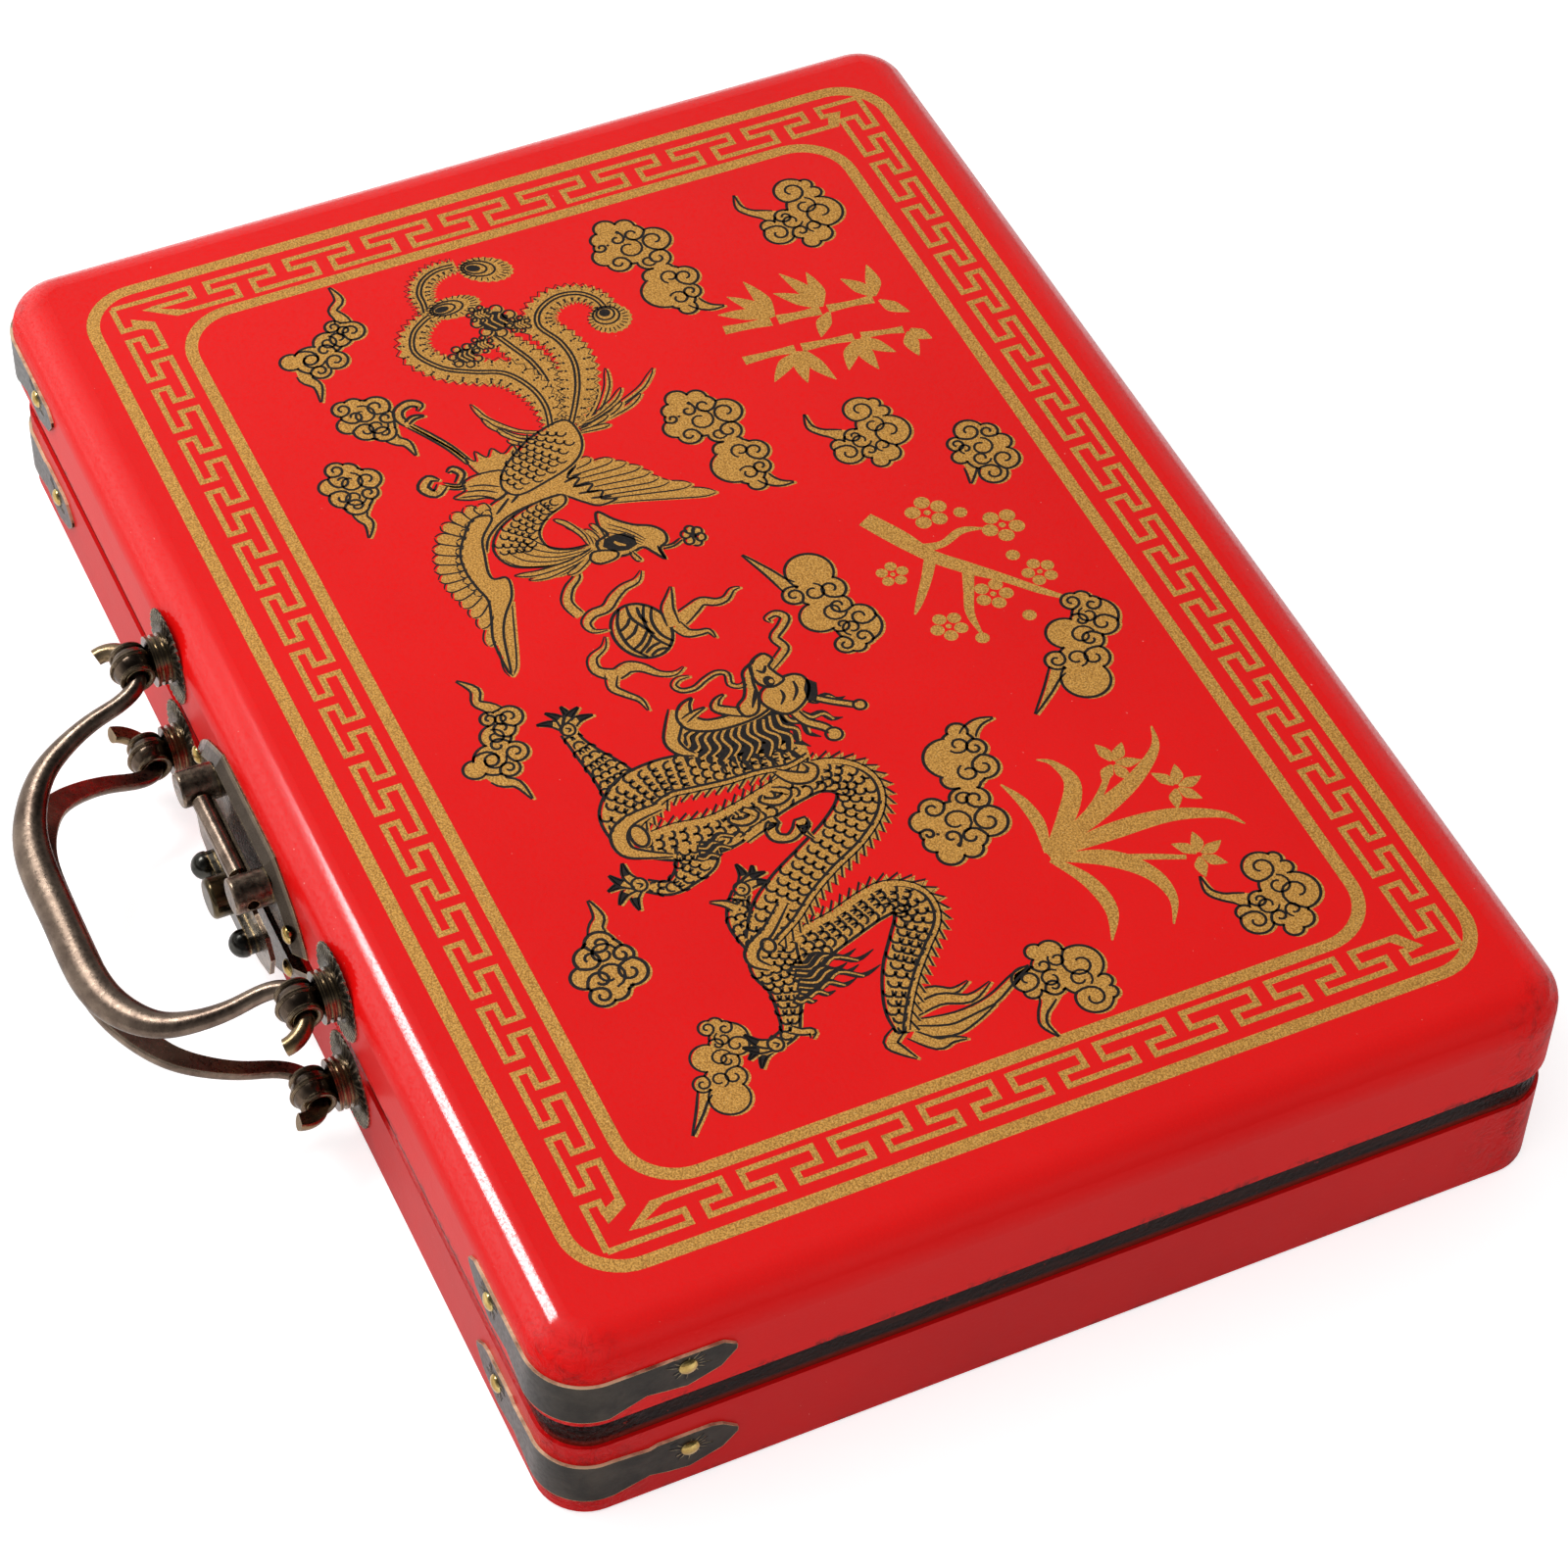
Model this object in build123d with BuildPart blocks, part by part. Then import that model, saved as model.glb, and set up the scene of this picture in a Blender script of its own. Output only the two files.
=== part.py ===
from build123d import *
from math import asin, atan2, cos, degrees, hypot, radians, sin, sqrt
import os

os.makedirs("parts", exist_ok=True)

# A flat two-part carrying case, closed and lying on its base.
# X runs left to right along the front, Y from front to back, Z up.
# The origin is on the underside, below the middle of the lid.
# All sizes are in millimetres.

# --- case shell ---
case_width = 240.0          # lid, left to right
case_depth = 166.0          # lid, front to back
case_height = 41.5          # underside to top of lid, closed
lid_height = 17.2           # leather-covered height of the lid
base_height = 16.8          # leather-covered height of the base
overhang = 1.0              # how far the lid stands out past the base at the front and sides
corner_radius = 9.0         # upright corners of the lid
top_radius = 6.5            # rounding round the top of the lid
foot_radius = 0.6           # rounding round the bottom of the base
leather = 0.8               # thickness of the covering
lid_board = 5.0             # side boards of the lid
top_board = 4.0             # board under the top leather
bottom_board = 3.0          # board above the bottom leather
lining = 0.6                # cloth-covered card inside both trays
lining_gap = 0.2            # room between a lining and the boards round it

# --- dark rim and inner frame of the base ---
rim_inset = 0.6             # rim face behind the leather of the base
frame_board = 2.0           # inner frame that lines the base
frame_rise = 3.0            # inner frame above the rim, where it locates the lid
lid_slip = 0.35             # room between the inner frame and the lid boards
divider = 3.0               # tray dividers
divider_drop = 0.8          # dividers end below the top of the rim
side_bay = 48.0             # clear width of the bays on the right
dice_bay = 52.0             # clear depth of the front bay on the right

# --- back hinges ---
hinge_inset = 48.0          # hinge centres in from the sides of the lid
hinge_width = 28.0
leaf_height = 11.0          # leaf beyond the barrel
leaf_sheet = 1.0
barrel_radius = 2.4
barrel_pin = 0.9            # radius of the hinge pin
pin_clearance = 0.05        # running room round any pin
knuckle_count = 5
knuckle_gap = 0.2
leaf_nail_side = 8.5        # nails either side of a leaf's middle
leaf_nail_edge = 3.5        # nails in from the free edge of a leaf

# --- nails and bolts ---
nail_head = 1.5             # radius of a domed head
nail_dome = 0.8             # height of a domed head
nail_shank = 0.6            # radius of a shank
nail_length = 4.0           # shank below the head
hole_clearance = 0.05       # room round a nail or bolt in its hole

# --- corner straps ---
strap_sheet = 0.5
strap_length = 28.9         # from the case corner to the leaf's point
strap_nail = 20.8           # from the case corner to the nail
strap_corner = 4.3          # half heights: round the corner,
strap_waist = 3.2           # at the waist
strap_leaf = 4.8            # and at the widest part of the leaf
lid_strap_lift = 5.9        # middle line at the corner above the bottom of the lid
base_strap_height = 8.3     # and above the underside
lid_strap_rise = 1.7        # how far the leaves stand above the corner
base_strap_rise = 0.8

# --- fittings on the front ---
fitting_centre = 2.0        # middle of latch and handles, right of the case middle
handle_spacing = 74.0       # between the two eyes of a handle
lid_eye_lift = 8.0          # eyes above the bottom of the lid
base_eye_height = 10.4      # and above the underside
rosette_radius = 8.0
rosette_sheet = 0.6
rosette_scallops = 24
scallop_radius = 0.55
scallop_depth = 0.33        # how deep each scallop cuts into the edge
collar_radius = 4.2
collar_groove = 0.5         # depth of the two grooves in the collar
collar_length = 2.7
eye_radius = 3.4            # ball of the eye
eye_reach = 6.2             # ball centre in front of the case
eye_slack = 0.5             # room round the handle's end in the eye
bolt_radius = 1.2
nut_radius = 3.0
nut_height = 2.2
bolt_tail = 0.6             # bolt beyond its nut

# --- handles ---
grip_reach = 27.0           # grip's middle line from the eyes
grip_half_width = 3.0
grip_half_height = 2.0
grip_flat = 0.7             # flat face from the middle line
end_radius = 1.4            # ends in the eyes
grip_gap = 0.5              # between the two grips when they are together
thin_share = 0.13           # share of the length at each end that stays thin
swell_share = 0.27          # share over which the grip widens
# middle line of a handle's right half: sideways as a share of the distance from the middle to
# an eye, and outwards as a share of the grip's reach
handle_curve = [
    (0, 1), (0.25, 1), (0.46, 0.965), (0.62, 0.87), (0.735, 0.74), (0.81, 0.55), (0.85, 0.31),
    (0.865, 0.12), (0.915, 0.012), (1, 0), (1.09, 0.012), (1.135, 0.07), (1.152, 0.17),
]

# --- latch ---
post_spacing = 23.4
post_radius = 3.0
post_length = 7.9
post_round = 0.5            # rounding of the post ends
pin_lift = 5.7              # latch pin above the bottom of the lid
pin_reach = 5.2             # latch pin in front of the lid
latch_pin = 0.9
flap_barrel = 1.6           # outside radius of the flap's rolled barrel
flap_side_gap = 0.6         # between the barrel and each post
flap_stand = 3.2            # back of the flap in front of the lid
flap_sheet = 0.8
# right half of the flap: share of the way from its pin to its point, and sideways from the neck
flap_curve = [
    (0.332, 0), (0.39, 1.9), (0.4, 6.9), (0.556, 8.9), (0.8, 7.4), (0.893, 3.0), (0.946, -2.0),
]
flap_bottom = 9.5           # point of the flap above the underside
plate_sheet = 1.9           # how far the latch plates stand out
plate_bevel_depth = 1.6
plate_bevel_width = 2.0
plate_edge = 0.4            # plates stay this far from the edge of the leather
lid_plate_half = 23.8       # half width of the lid plate
lid_plate_height = 10.8
lid_plate_nail = 19.9       # nails either side of the latch's middle
base_plate_half = 20.0
base_plate_height = 12.0
base_plate_nail = 15.5
plate_nail_in = 2.6         # nails in from a plate's straight edge
# right half of a plate's arch: shares of its half width and of its height
plate_curve = [(1, 0), (0.97, 0.17), (0.91, 0.34), (0.8, 0.58), (0.64, 0.8), (0.475, 1)]
bar_half_length = 10.8
bar_half_height = 1.8
bar_thickness = 1.2
bar_height = 14.4
stud_side = 8.6             # ball studs either side of the latch's middle
stud_radius = 2.3
stud_centre = 0.5           # ball centre in front of the bar
knob_radius = 3.4
knob_length = 3.1           # knob in front of the bar
knob_round = 0.8
knob_height = 16.7
catch_radius = 1.6
catch_gap = 0.4             # between the catch and the flap
catch_round = 0.8
leaf_round = 2.0            # corners of the hinge leaves

# --- worked out ---
lid_bottom = case_height - lid_height
lid_front = -case_depth / 2
lid_back = case_depth / 2
lid_side = case_width / 2
base_front = lid_front + overhang
base_side = lid_side - overhang
base_depth = lid_back - base_front
base_middle = (lid_back + base_front) / 2
lid_cavity = (case_width - 2 * (leather + lid_board), case_depth - 2 * (leather + lid_board))
base_cavity = (lid_cavity[0] - 2 * lid_slip, lid_cavity[1] - 2 * lid_slip)
tray = (base_cavity[0] - 2 * frame_board, base_cavity[1] - 2 * frame_board)
board_top = leather + bottom_board
tray_floor = board_top + lining
ceiling = case_height - leather - top_board
hinge_y = lid_back + barrel_radius
hinge_z = case_height / 2
hinge_place = lid_side - hinge_inset
lid_strap_height = lid_bottom + lid_strap_lift
lid_eye_height = lid_bottom + lid_eye_lift
pin_height = lid_bottom + pin_lift
eye_sides = (-1, 1)


def keep(piece, name):
    """Label a finished piece and write it out."""
    piece.part.label = name
    export_step(piece.part, f"parts/{name}.step")


def front_place(x, y, z):
    """A place on the front, its Z axis pointing out of the case."""
    return Plane(origin=(x, y, z), x_dir=(1, 0, 0), z_dir=(0, -1, 0)).location


def side_place(side, reach, y, z):
    """A place on the left (-1) or right (1) side, its Z axis pointing out of the case."""
    return Plane(origin=(side * reach, y, z), x_dir=(0, side, 0), z_dir=(side, 0, 0)).location


def back_place(x, y, z):
    """A place on the back, its Z axis pointing out of the case."""
    return Plane(origin=(x, y, z), x_dir=(-1, 0, 0), z_dir=(0, 1, 0)).location


def drill(places, radius, depth):
    """Round holes that run the same depth in front of and behind each place."""
    with Locations(*places):
        Cylinder(radius + hole_clearance, 2 * depth, mode=Mode.SUBTRACT)


def mitre(side, cavity):
    """The part of a frame round a cavity that belongs to one of its four boards."""
    x, y = cavity[0] / 2, cavity[1] / 2
    far = corner_radius + lid_board + leather
    corners = {
        "front": [(-x, -y), (x, -y), (x + far, -y - far), (-x - far, -y - far)],
        "back": [(x, y), (-x, y), (-x - far, y + far), (x + far, y + far)],
        "left": [(-x, y), (-x, -y), (-x - far, -y - far), (-x - far, y + far)],
        "right": [(x, -y), (x, y), (x + far, y + far), (x + far, -y - far)],
    }
    Polygon(*corners[side], align=None)


# --- places of nails and bolts ---
def strap_nail_places(front, reach, height):
    """The four strap nails of one half: one on the front and one on the side of each corner."""
    places = []
    for side in (-1, 1):
        places.append(front_place(side * (reach - strap_nail), front - strap_sheet, height))
        places.append(side_place(side, reach + strap_sheet, front + strap_nail, height))
    return places


def eye_places(front, height):
    return [front_place(fitting_centre + side * handle_spacing / 2, front, height) for side in eye_sides]


def plate_nail_places(front, out, height):
    return [front_place(fitting_centre + side * out, front - plate_sheet, height) for side in (-1, 1)]


def leaf_nail_places(y, height):
    middles = [side * hinge_place + step * leaf_nail_side for side in (-1, 1) for step in (-1, 1)]
    return [back_place(x, y, height) for x in middles]


lid_strap_nails = strap_nail_places(lid_front, lid_side, lid_strap_height + lid_strap_rise)
base_strap_nails = strap_nail_places(base_front, base_side, base_strap_height + base_strap_rise)
lid_eyes = eye_places(lid_front, lid_eye_height)
base_eyes = eye_places(base_front, base_eye_height)
lid_plate_bottom = lid_bottom + plate_edge
lid_plate_nails = plate_nail_places(lid_front, lid_plate_nail, lid_plate_bottom + plate_nail_in)
base_plate_top = base_height - plate_edge
base_plate_nails = plate_nail_places(base_front, base_plate_nail, base_plate_top - plate_nail_in)
lid_leaf_edge = hinge_z + barrel_radius + leaf_height
base_leaf_edge = hinge_z - barrel_radius - leaf_height
lid_leaf_nails = leaf_nail_places(lid_back + leaf_sheet, lid_leaf_edge - leaf_nail_edge)
base_leaf_nails = leaf_nail_places(lid_back + leaf_sheet, base_leaf_edge + leaf_nail_edge)
lid_nails = lid_strap_nails + lid_plate_nails + lid_leaf_nails
base_nails = base_strap_nails + base_plate_nails + base_leaf_nails
bolt_length = leather + lid_board + frame_board + nut_height + bolt_tail


def drill_lid():
    """Every nail and bolt hole of the lid; a piece takes those that reach it."""
    drill(lid_nails, nail_shank, nail_length)
    drill(lid_eyes, bolt_radius, bolt_length)


def drill_base():
    """Every nail and bolt hole of the base; a piece takes those that reach it."""
    drill(base_nails, nail_shank, nail_length)
    drill(base_eyes, bolt_radius, bolt_length)


# --- lid: leather over a top board and four side boards ---
with BuildPart() as lid_core:
    with BuildSketch(Plane.XY.offset(lid_bottom)):
        RectangleRounded(case_width - 2 * leather, case_depth - 2 * leather, corner_radius - leather)
    extrude(amount=lid_height - leather)
    fillet(lid_core.edges().group_by(Axis.Z)[-1], top_radius - leather)

with BuildPart() as lid_leather:
    with BuildSketch(Plane.XY.offset(lid_bottom)):
        RectangleRounded(case_width, case_depth, corner_radius)
    extrude(amount=lid_height)
    fillet(lid_leather.edges().group_by(Axis.Z)[-1], top_radius)
    add(lid_core.part, mode=Mode.SUBTRACT)
    drill_lid()
keep(lid_leather, "lid_leather")

with BuildPart() as lid_top_board:
    add(lid_core.part)
    split(bisect_by=Plane.XY.offset(ceiling), keep=Keep.TOP)
keep(lid_top_board, "lid_top_board")

with BuildPart() as lid_frame:
    add(lid_core.part)
    split(bisect_by=Plane.XY.offset(ceiling), keep=Keep.BOTTOM)
    with BuildSketch(Plane.XY.offset(lid_bottom)):
        Rectangle(*lid_cavity)
    extrude(amount=ceiling - lid_bottom, mode=Mode.SUBTRACT)
    drill_lid()

for board_side in ("front", "back", "left", "right"):
    with BuildPart() as lid_side_board:
        add(lid_frame.part)
        with BuildSketch(Plane.XY.offset(lid_bottom)):
            mitre(board_side, lid_cavity)
        extrude(amount=lid_height, mode=Mode.INTERSECT)
    keep(lid_side_board, f"lid_{board_side}_board")

with BuildPart() as lid_lining:
    with BuildSketch(Plane.XY.offset(ceiling - lining)):
        Rectangle(lid_cavity[0] - 2 * lining_gap, lid_cavity[1] - 2 * lining_gap)
    extrude(amount=lining)
keep(lid_lining, "lid_lining")

# --- base: leather round four side boards, with a bottom board and sheet ---
with BuildPart() as base_side_leather:
    with BuildSketch():
        with Locations((0, base_middle)):
            RectangleRounded(2 * base_side, base_depth, corner_radius - overhang)
    extrude(amount=base_height)
    fillet(base_side_leather.edges().group_by(Axis.Z)[0], foot_radius)
    with BuildSketch():
        with Locations((0, base_middle)):
            RectangleRounded(
                2 * (base_side - leather), base_depth - 2 * leather, corner_radius - overhang - leather
            )
    extrude(amount=base_height, mode=Mode.SUBTRACT)
    drill_base()
keep(base_side_leather, "base_side_leather")

with BuildPart() as base_bottom_leather:
    with BuildSketch():
        with Locations((0, base_middle)):
            RectangleRounded(
                2 * (base_side - leather), base_depth - 2 * leather, corner_radius - overhang - leather
            )
    extrude(amount=leather)
keep(base_bottom_leather, "base_bottom_leather")

with BuildPart() as base_bottom_board:
    with BuildSketch(Plane.XY.offset(leather)):
        Rectangle(*base_cavity)
    extrude(amount=bottom_board)
keep(base_bottom_board, "base_bottom_board")

with BuildPart() as base_frame:
    with BuildSketch(Plane.XY.offset(leather)):
        with Locations((0, base_middle)):
            RectangleRounded(
                2 * (base_side - leather), base_depth - 2 * leather, corner_radius - overhang - leather
            )
        Rectangle(*base_cavity, mode=Mode.SUBTRACT)
    extrude(amount=base_height - leather)
    drill_base()

# --- dark rim that shows between base and lid ---
with BuildPart() as rim_frame:
    with BuildSketch(Plane.XY.offset(base_height)):
        with Locations((0, base_middle)):
            RectangleRounded(
                2 * (base_side - rim_inset), base_depth - 2 * rim_inset, corner_radius - overhang - rim_inset
            )
        Rectangle(*base_cavity, mode=Mode.SUBTRACT)
    extrude(amount=lid_bottom - base_height)

for board_side in ("front", "back", "left", "right"):
    with BuildPart() as base_side_board:
        add(base_frame.part)
        with BuildSketch():
            mitre(board_side, base_cavity)
        extrude(amount=base_height, mode=Mode.INTERSECT)
    keep(base_side_board, f"base_{board_side}_board")

    with BuildPart() as rim_strip:
        add(rim_frame.part)
        with BuildSketch():
            mitre(board_side, base_cavity)
        extrude(amount=case_height, mode=Mode.INTERSECT)
    keep(rim_strip, f"rim_{board_side}_strip")

# --- inside of the base: frame, floor lining and dividers ---
with BuildPart() as inner_frame:
    with BuildSketch(Plane.XY.offset(board_top)):
        Rectangle(*base_cavity)
        Rectangle(*tray, mode=Mode.SUBTRACT)
    extrude(amount=lid_bottom + frame_rise - board_top)
    drill(base_eyes, bolt_radius, bolt_length)
keep(inner_frame, "inner_frame")

with BuildPart() as floor_lining:
    with BuildSketch(Plane.XY.offset(board_top)):
        Rectangle(tray[0] - 2 * lining_gap, tray[1] - 2 * lining_gap)
    extrude(amount=lining)
keep(floor_lining, "floor_lining")

divider_height = lid_bottom - divider_drop - tray_floor
cross_divider_x = tray[0] / 2 - side_bay - divider / 2
side_divider_y = -tray[1] / 2 + dice_bay + divider / 2

with BuildPart() as cross_divider:
    with BuildSketch(Plane.XY.offset(tray_floor)):
        with Locations((cross_divider_x, 0)):
            Rectangle(divider, tray[1])
    extrude(amount=divider_height)
keep(cross_divider, "cross_divider")

with BuildPart() as side_divider:
    with BuildSketch(Plane.XY.offset(tray_floor)):
        with Locations((tray[0] / 2 - side_bay / 2, side_divider_y)):
            Rectangle(side_bay, divider)
    extrude(amount=divider_height)
keep(side_divider, "side_divider")


# --- corner straps: sheet bent round the two front corners ---
def strap_outline(corner, run, rise):
    """Outline of one arm, from the case corner towards the leaf's point; run is its direction."""
    stations = [
        (0, strap_corner, 0),
        (corner_radius, strap_corner, 0),
        (0.7 * strap_nail, strap_waist, 0.7 * rise),
        (0.83 * strap_nail, 0.88 * strap_leaf, rise),
        (strap_nail, strap_leaf, rise),
        (0.9 * strap_length, 0.6 * strap_leaf, rise),
        (strap_length, 0, 1.4 * rise),
    ]
    upper = [(corner + run * along, lift + half) for along, half, lift in stations]
    lower = [(corner + run * along, lift - half) for along, half, lift in reversed(stations[:-1])]
    Polygon(*upper, *lower, align=None)


def build_strap(side, front, reach, radius, height, rise, nails):
    """One bent strap, trimmed to its outline as seen from the front and from the side."""
    middle = (front + lid_back) / 2
    depth = lid_back - front
    with BuildPart() as strap:
        with BuildSketch():
            with Locations((0, middle)):
                RectangleRounded(2 * (reach + strap_sheet), depth + 2 * strap_sheet, radius + strap_sheet)
                RectangleRounded(2 * reach, depth, radius, mode=Mode.SUBTRACT)
            with Locations((side * (reach + strap_sheet), front - strap_sheet)):
                Rectangle(2 * strap_length, 2 * strap_length, mode=Mode.INTERSECT)
        extrude(amount=case_height)
        with BuildSketch(Plane.XZ.offset(case_depth)):
            with Locations((0, height)):
                strap_outline(side * reach, -side, rise)
                Rectangle(4 * strap_sheet, 2 * strap_corner)
                with Locations((side * reach, 0)):
                    Rectangle(4 * strap_sheet, 2 * strap_corner)
        extrude(amount=-2 * case_depth, mode=Mode.INTERSECT)
        with BuildSketch(Plane.YZ.offset(-case_width)):
            with Locations((0, height)):
                strap_outline(front, 1, rise)
                with Locations((front, 0)):
                    Rectangle(4 * strap_sheet, 2 * strap_corner)
        extrude(amount=2 * case_width, mode=Mode.INTERSECT)
        drill(nails, nail_shank, nail_length)
    return strap


for side, side_name in ((-1, "left"), (1, "right")):
    lid_strap = build_strap(
        side, lid_front, lid_side, corner_radius, lid_strap_height, lid_strap_rise, lid_strap_nails
    )
    keep(lid_strap, f"lid_corner_strap_{side_name}")
    base_strap = build_strap(
        side, base_front, base_side, corner_radius - overhang, base_strap_height, base_strap_rise, base_strap_nails
    )
    keep(base_strap, f"base_corner_strap_{side_name}")


def keep_group(single, places, name):
    """Write one piece repeated at each place as a group of separate solids."""
    with BuildPart() as group:
        with Locations(*places):
            add(single.part)
    keep(group, name)


# --- nails: one domed head on a plain shank, repeated ---
with BuildPart() as nail:
    with BuildSketch(Plane.XZ):
        with BuildLine():
            CenterArc((0, 0), nail_head, 0, 90)
            Line((0, nail_head), (0, 0))
            Line((0, 0), (nail_head, 0))
        make_face()
        scale(by=(1, nail_dome / nail_head, 1))
        with Locations((0, -nail_length)):
            Rectangle(nail_shank, nail_length + nail_dome / 2, align=(Align.MIN, Align.MIN))
    revolve(axis=Axis.Z)

keep_group(nail, lid_strap_nails, "lid_strap_nails")
keep_group(nail, base_strap_nails, "base_strap_nails")
keep_group(nail, lid_plate_nails, "lid_plate_nails")
keep_group(nail, base_plate_nails, "base_plate_nails")
keep_group(nail, lid_leaf_nails, "lid_leaf_nails")
keep_group(nail, base_leaf_nails, "base_leaf_nails")

# --- handle eyes: rosette, bolt with a grooved collar and a drilled ball, nut inside ---
with BuildPart() as rosette:
    with BuildSketch():
        Circle(rosette_radius)
        with PolarLocations(rosette_radius + scallop_radius - scallop_depth, rosette_scallops):
            Circle(scallop_radius, mode=Mode.SUBTRACT)
        Circle(bolt_radius + hole_clearance, mode=Mode.SUBTRACT)
    extrude(amount=rosette_sheet)

groove = collar_length / 5
with BuildPart() as eye:
    with BuildSketch(Plane.XZ):
        with Locations((0, rosette_sheet)):
            Rectangle(collar_radius, collar_length, align=(Align.MIN, Align.MIN))
        with Locations((collar_radius, rosette_sheet + 1.5 * groove), (collar_radius, rosette_sheet + 3.5 * groove)):
            Rectangle(2 * collar_groove, groove, mode=Mode.SUBTRACT)
    revolve(axis=Axis.Z)
    with Locations((0, 0, collar_length)):
        Cylinder(bolt_radius, bolt_length + collar_length, align=(Align.CENTER, Align.CENTER, Align.MAX))
    with Locations((0, 0, eye_reach)):
        Sphere(eye_radius)
        Cylinder(end_radius + eye_slack, 3 * eye_radius, rotation=(0, 90, 0), mode=Mode.SUBTRACT)

with BuildPart() as nut:
    with BuildSketch():
        RegularPolygon(nut_radius, 6)
        Circle(bolt_radius + hole_clearance, mode=Mode.SUBTRACT)
    extrude(amount=-nut_height)

lid_nut_depth = leather + lid_board
base_nut_depth = frame_board - base_cavity[1] / 2 - base_front
for half, places, nut_depth in (("lid", lid_eyes, lid_nut_depth), ("base", base_eyes, base_nut_depth)):
    for place, side_name in zip(places, ("left", "right")):
        keep_group(rosette, [place], f"{half}_rosette_{side_name}")
        keep_group(eye, [place], f"{half}_eye_{side_name}")
    keep_group(nut, [place * Pos(0, 0, -nut_depth) for place in places], f"{half}_eye_nuts")

# --- handles: two half-round bails whose flat faces meet; thin ends pass through the eyes ---
grip_drop = (lid_eye_height - base_eye_height - grip_gap) / 2
grip_edge = grip_reach + sqrt(1 - (grip_flat / grip_half_height) ** 2) * grip_half_width
handle_tilt = degrees(asin(grip_drop / hypot(grip_edge, grip_flat)) - atan2(grip_flat, grip_edge))


def build_handle(front, height, turn):
    """One handle at rest, its flat face towards the other; turn is 1 for the lid's, -1 for the base's."""
    slope = radians(turn * handle_tilt)
    bail = Plane(
        origin=(fitting_centre, front - eye_reach, height), x_dir=(1, 0, 0), z_dir=(0, sin(slope), -cos(slope))
    )
    right = [(handle_spacing / 2 * across, grip_reach * out) for across, out in handle_curve]
    left = [(-x, y) for x, y in reversed(right[1:])]
    with BuildPart() as handle:
        with BuildLine(bail) as middle_line:
            Spline(*left, *right)
        path = middle_line.wires()[0]
        for station in range(9):
            at = station / 8
            swell = min(1, max(0, min(at, 1 - at) - thin_share) / swell_share)
            swell = sin(radians(90 * swell)) ** 2
            half_width = end_radius + (grip_half_width - end_radius) * swell
            half_height = end_radius + (grip_half_height - end_radius) * swell
            with BuildSketch(Plane(origin=path @ at, x_dir=bail.z_dir, z_dir=path % at)):
                Ellipse(half_height, half_width)
        sweep(path=path, multisection=True)
        with BuildSketch(bail.offset(turn * grip_flat)):
            Rectangle(2 * handle_spacing, 4 * grip_reach)
        extrude(amount=turn * grip_half_height, mode=Mode.SUBTRACT)
    return handle


keep(build_handle(lid_front, lid_eye_height, 1), "lid_handle")
keep(build_handle(base_front, base_eye_height, -1), "base_handle")


# --- latch plates: solid arched plates with a bevelled edge ---
def mirrored(points):
    """Both halves of an outline whose right half is given."""
    return [*points, *[(-x, y) for x, y in reversed(points)]]


def build_plate(front, edge, half, height, nails):
    """A plate that arches away from its straight edge; a negative height arches down."""
    face = Plane(origin=(fitting_centre, front, edge), x_dir=(1, 0, 0), z_dir=(0, -1, 0))
    outline = mirrored([(across * half, up * height) for across, up in plate_curve])
    with BuildPart() as plate:
        with BuildSketch(face):
            Polygon(*outline, align=None)
        extrude(amount=plate_sheet)
        arch = [line for line in plate.edges().group_by(Axis.Y)[0] if abs(line.center().Z - edge) > plate_edge]
        chamfer(arch, plate_bevel_depth, plate_bevel_width)
        drill(nails, nail_shank, nail_length)
    return plate


lid_plate = build_plate(lid_front, lid_plate_bottom, lid_plate_half, lid_plate_height, lid_plate_nails)
keep(lid_plate, "lid_latch_plate")
base_plate = build_plate(base_front, base_plate_top, base_plate_half, -base_plate_height, base_plate_nails)
keep(base_plate, "base_latch_plate")

# --- latch posts and the pin that they carry ---
pin_y = lid_front - pin_reach
for side, side_name in ((-1, "left"), (1, "right")):
    post_x = fitting_centre + side * post_spacing / 2
    with BuildPart() as post:
        with BuildSketch(front_place(post_x, lid_front - plate_sheet, pin_height)):
            Circle(post_radius)
        extrude(amount=post_length - plate_sheet)
        fillet(post.edges().group_by(Axis.Y)[0], post_round)
        with Locations((post_x, pin_y, pin_height)):
            Cylinder(latch_pin + hole_clearance, 3 * post_radius, rotation=(0, 90, 0), mode=Mode.SUBTRACT)
    keep(post, f"latch_post_{side_name}")

with BuildPart() as latch_rod:
    with Locations((fitting_centre, pin_y, pin_height)):
        Cylinder(latch_pin, post_spacing + post_radius, rotation=(0, 90, 0))
keep(latch_rod, "latch_pin")

# --- latch flap: rolled barrel, neck between the posts and a winged leaf below them ---
barrel_length = post_spacing - 2 * post_radius - 2 * flap_side_gap
flap_back = lid_front - flap_stand
flap_front = flap_back - flap_sheet
neck = barrel_length / 2
flap_length = pin_height - flap_bottom
flap_outline = [(neck, pin_height)]
flap_outline += [(neck + out, pin_height - share * flap_length) for share, out in flap_curve]
flap_outline += [(0, flap_bottom)]
with BuildPart() as latch_flap:
    with BuildSketch(Plane(origin=(fitting_centre, flap_back, 0), x_dir=(1, 0, 0), z_dir=(0, -1, 0))):
        Polygon(*flap_outline, *[(-x, z) for x, z in reversed(flap_outline[:-1])], align=None)
    extrude(amount=flap_sheet)
    with Locations((fitting_centre, pin_y, pin_height)):
        Cylinder(flap_barrel, barrel_length, rotation=(0, 90, 0))
        Cylinder(latch_pin + pin_clearance, 2 * barrel_length, rotation=(0, 90, 0), mode=Mode.SUBTRACT)
keep(latch_flap, "latch_flap")

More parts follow.
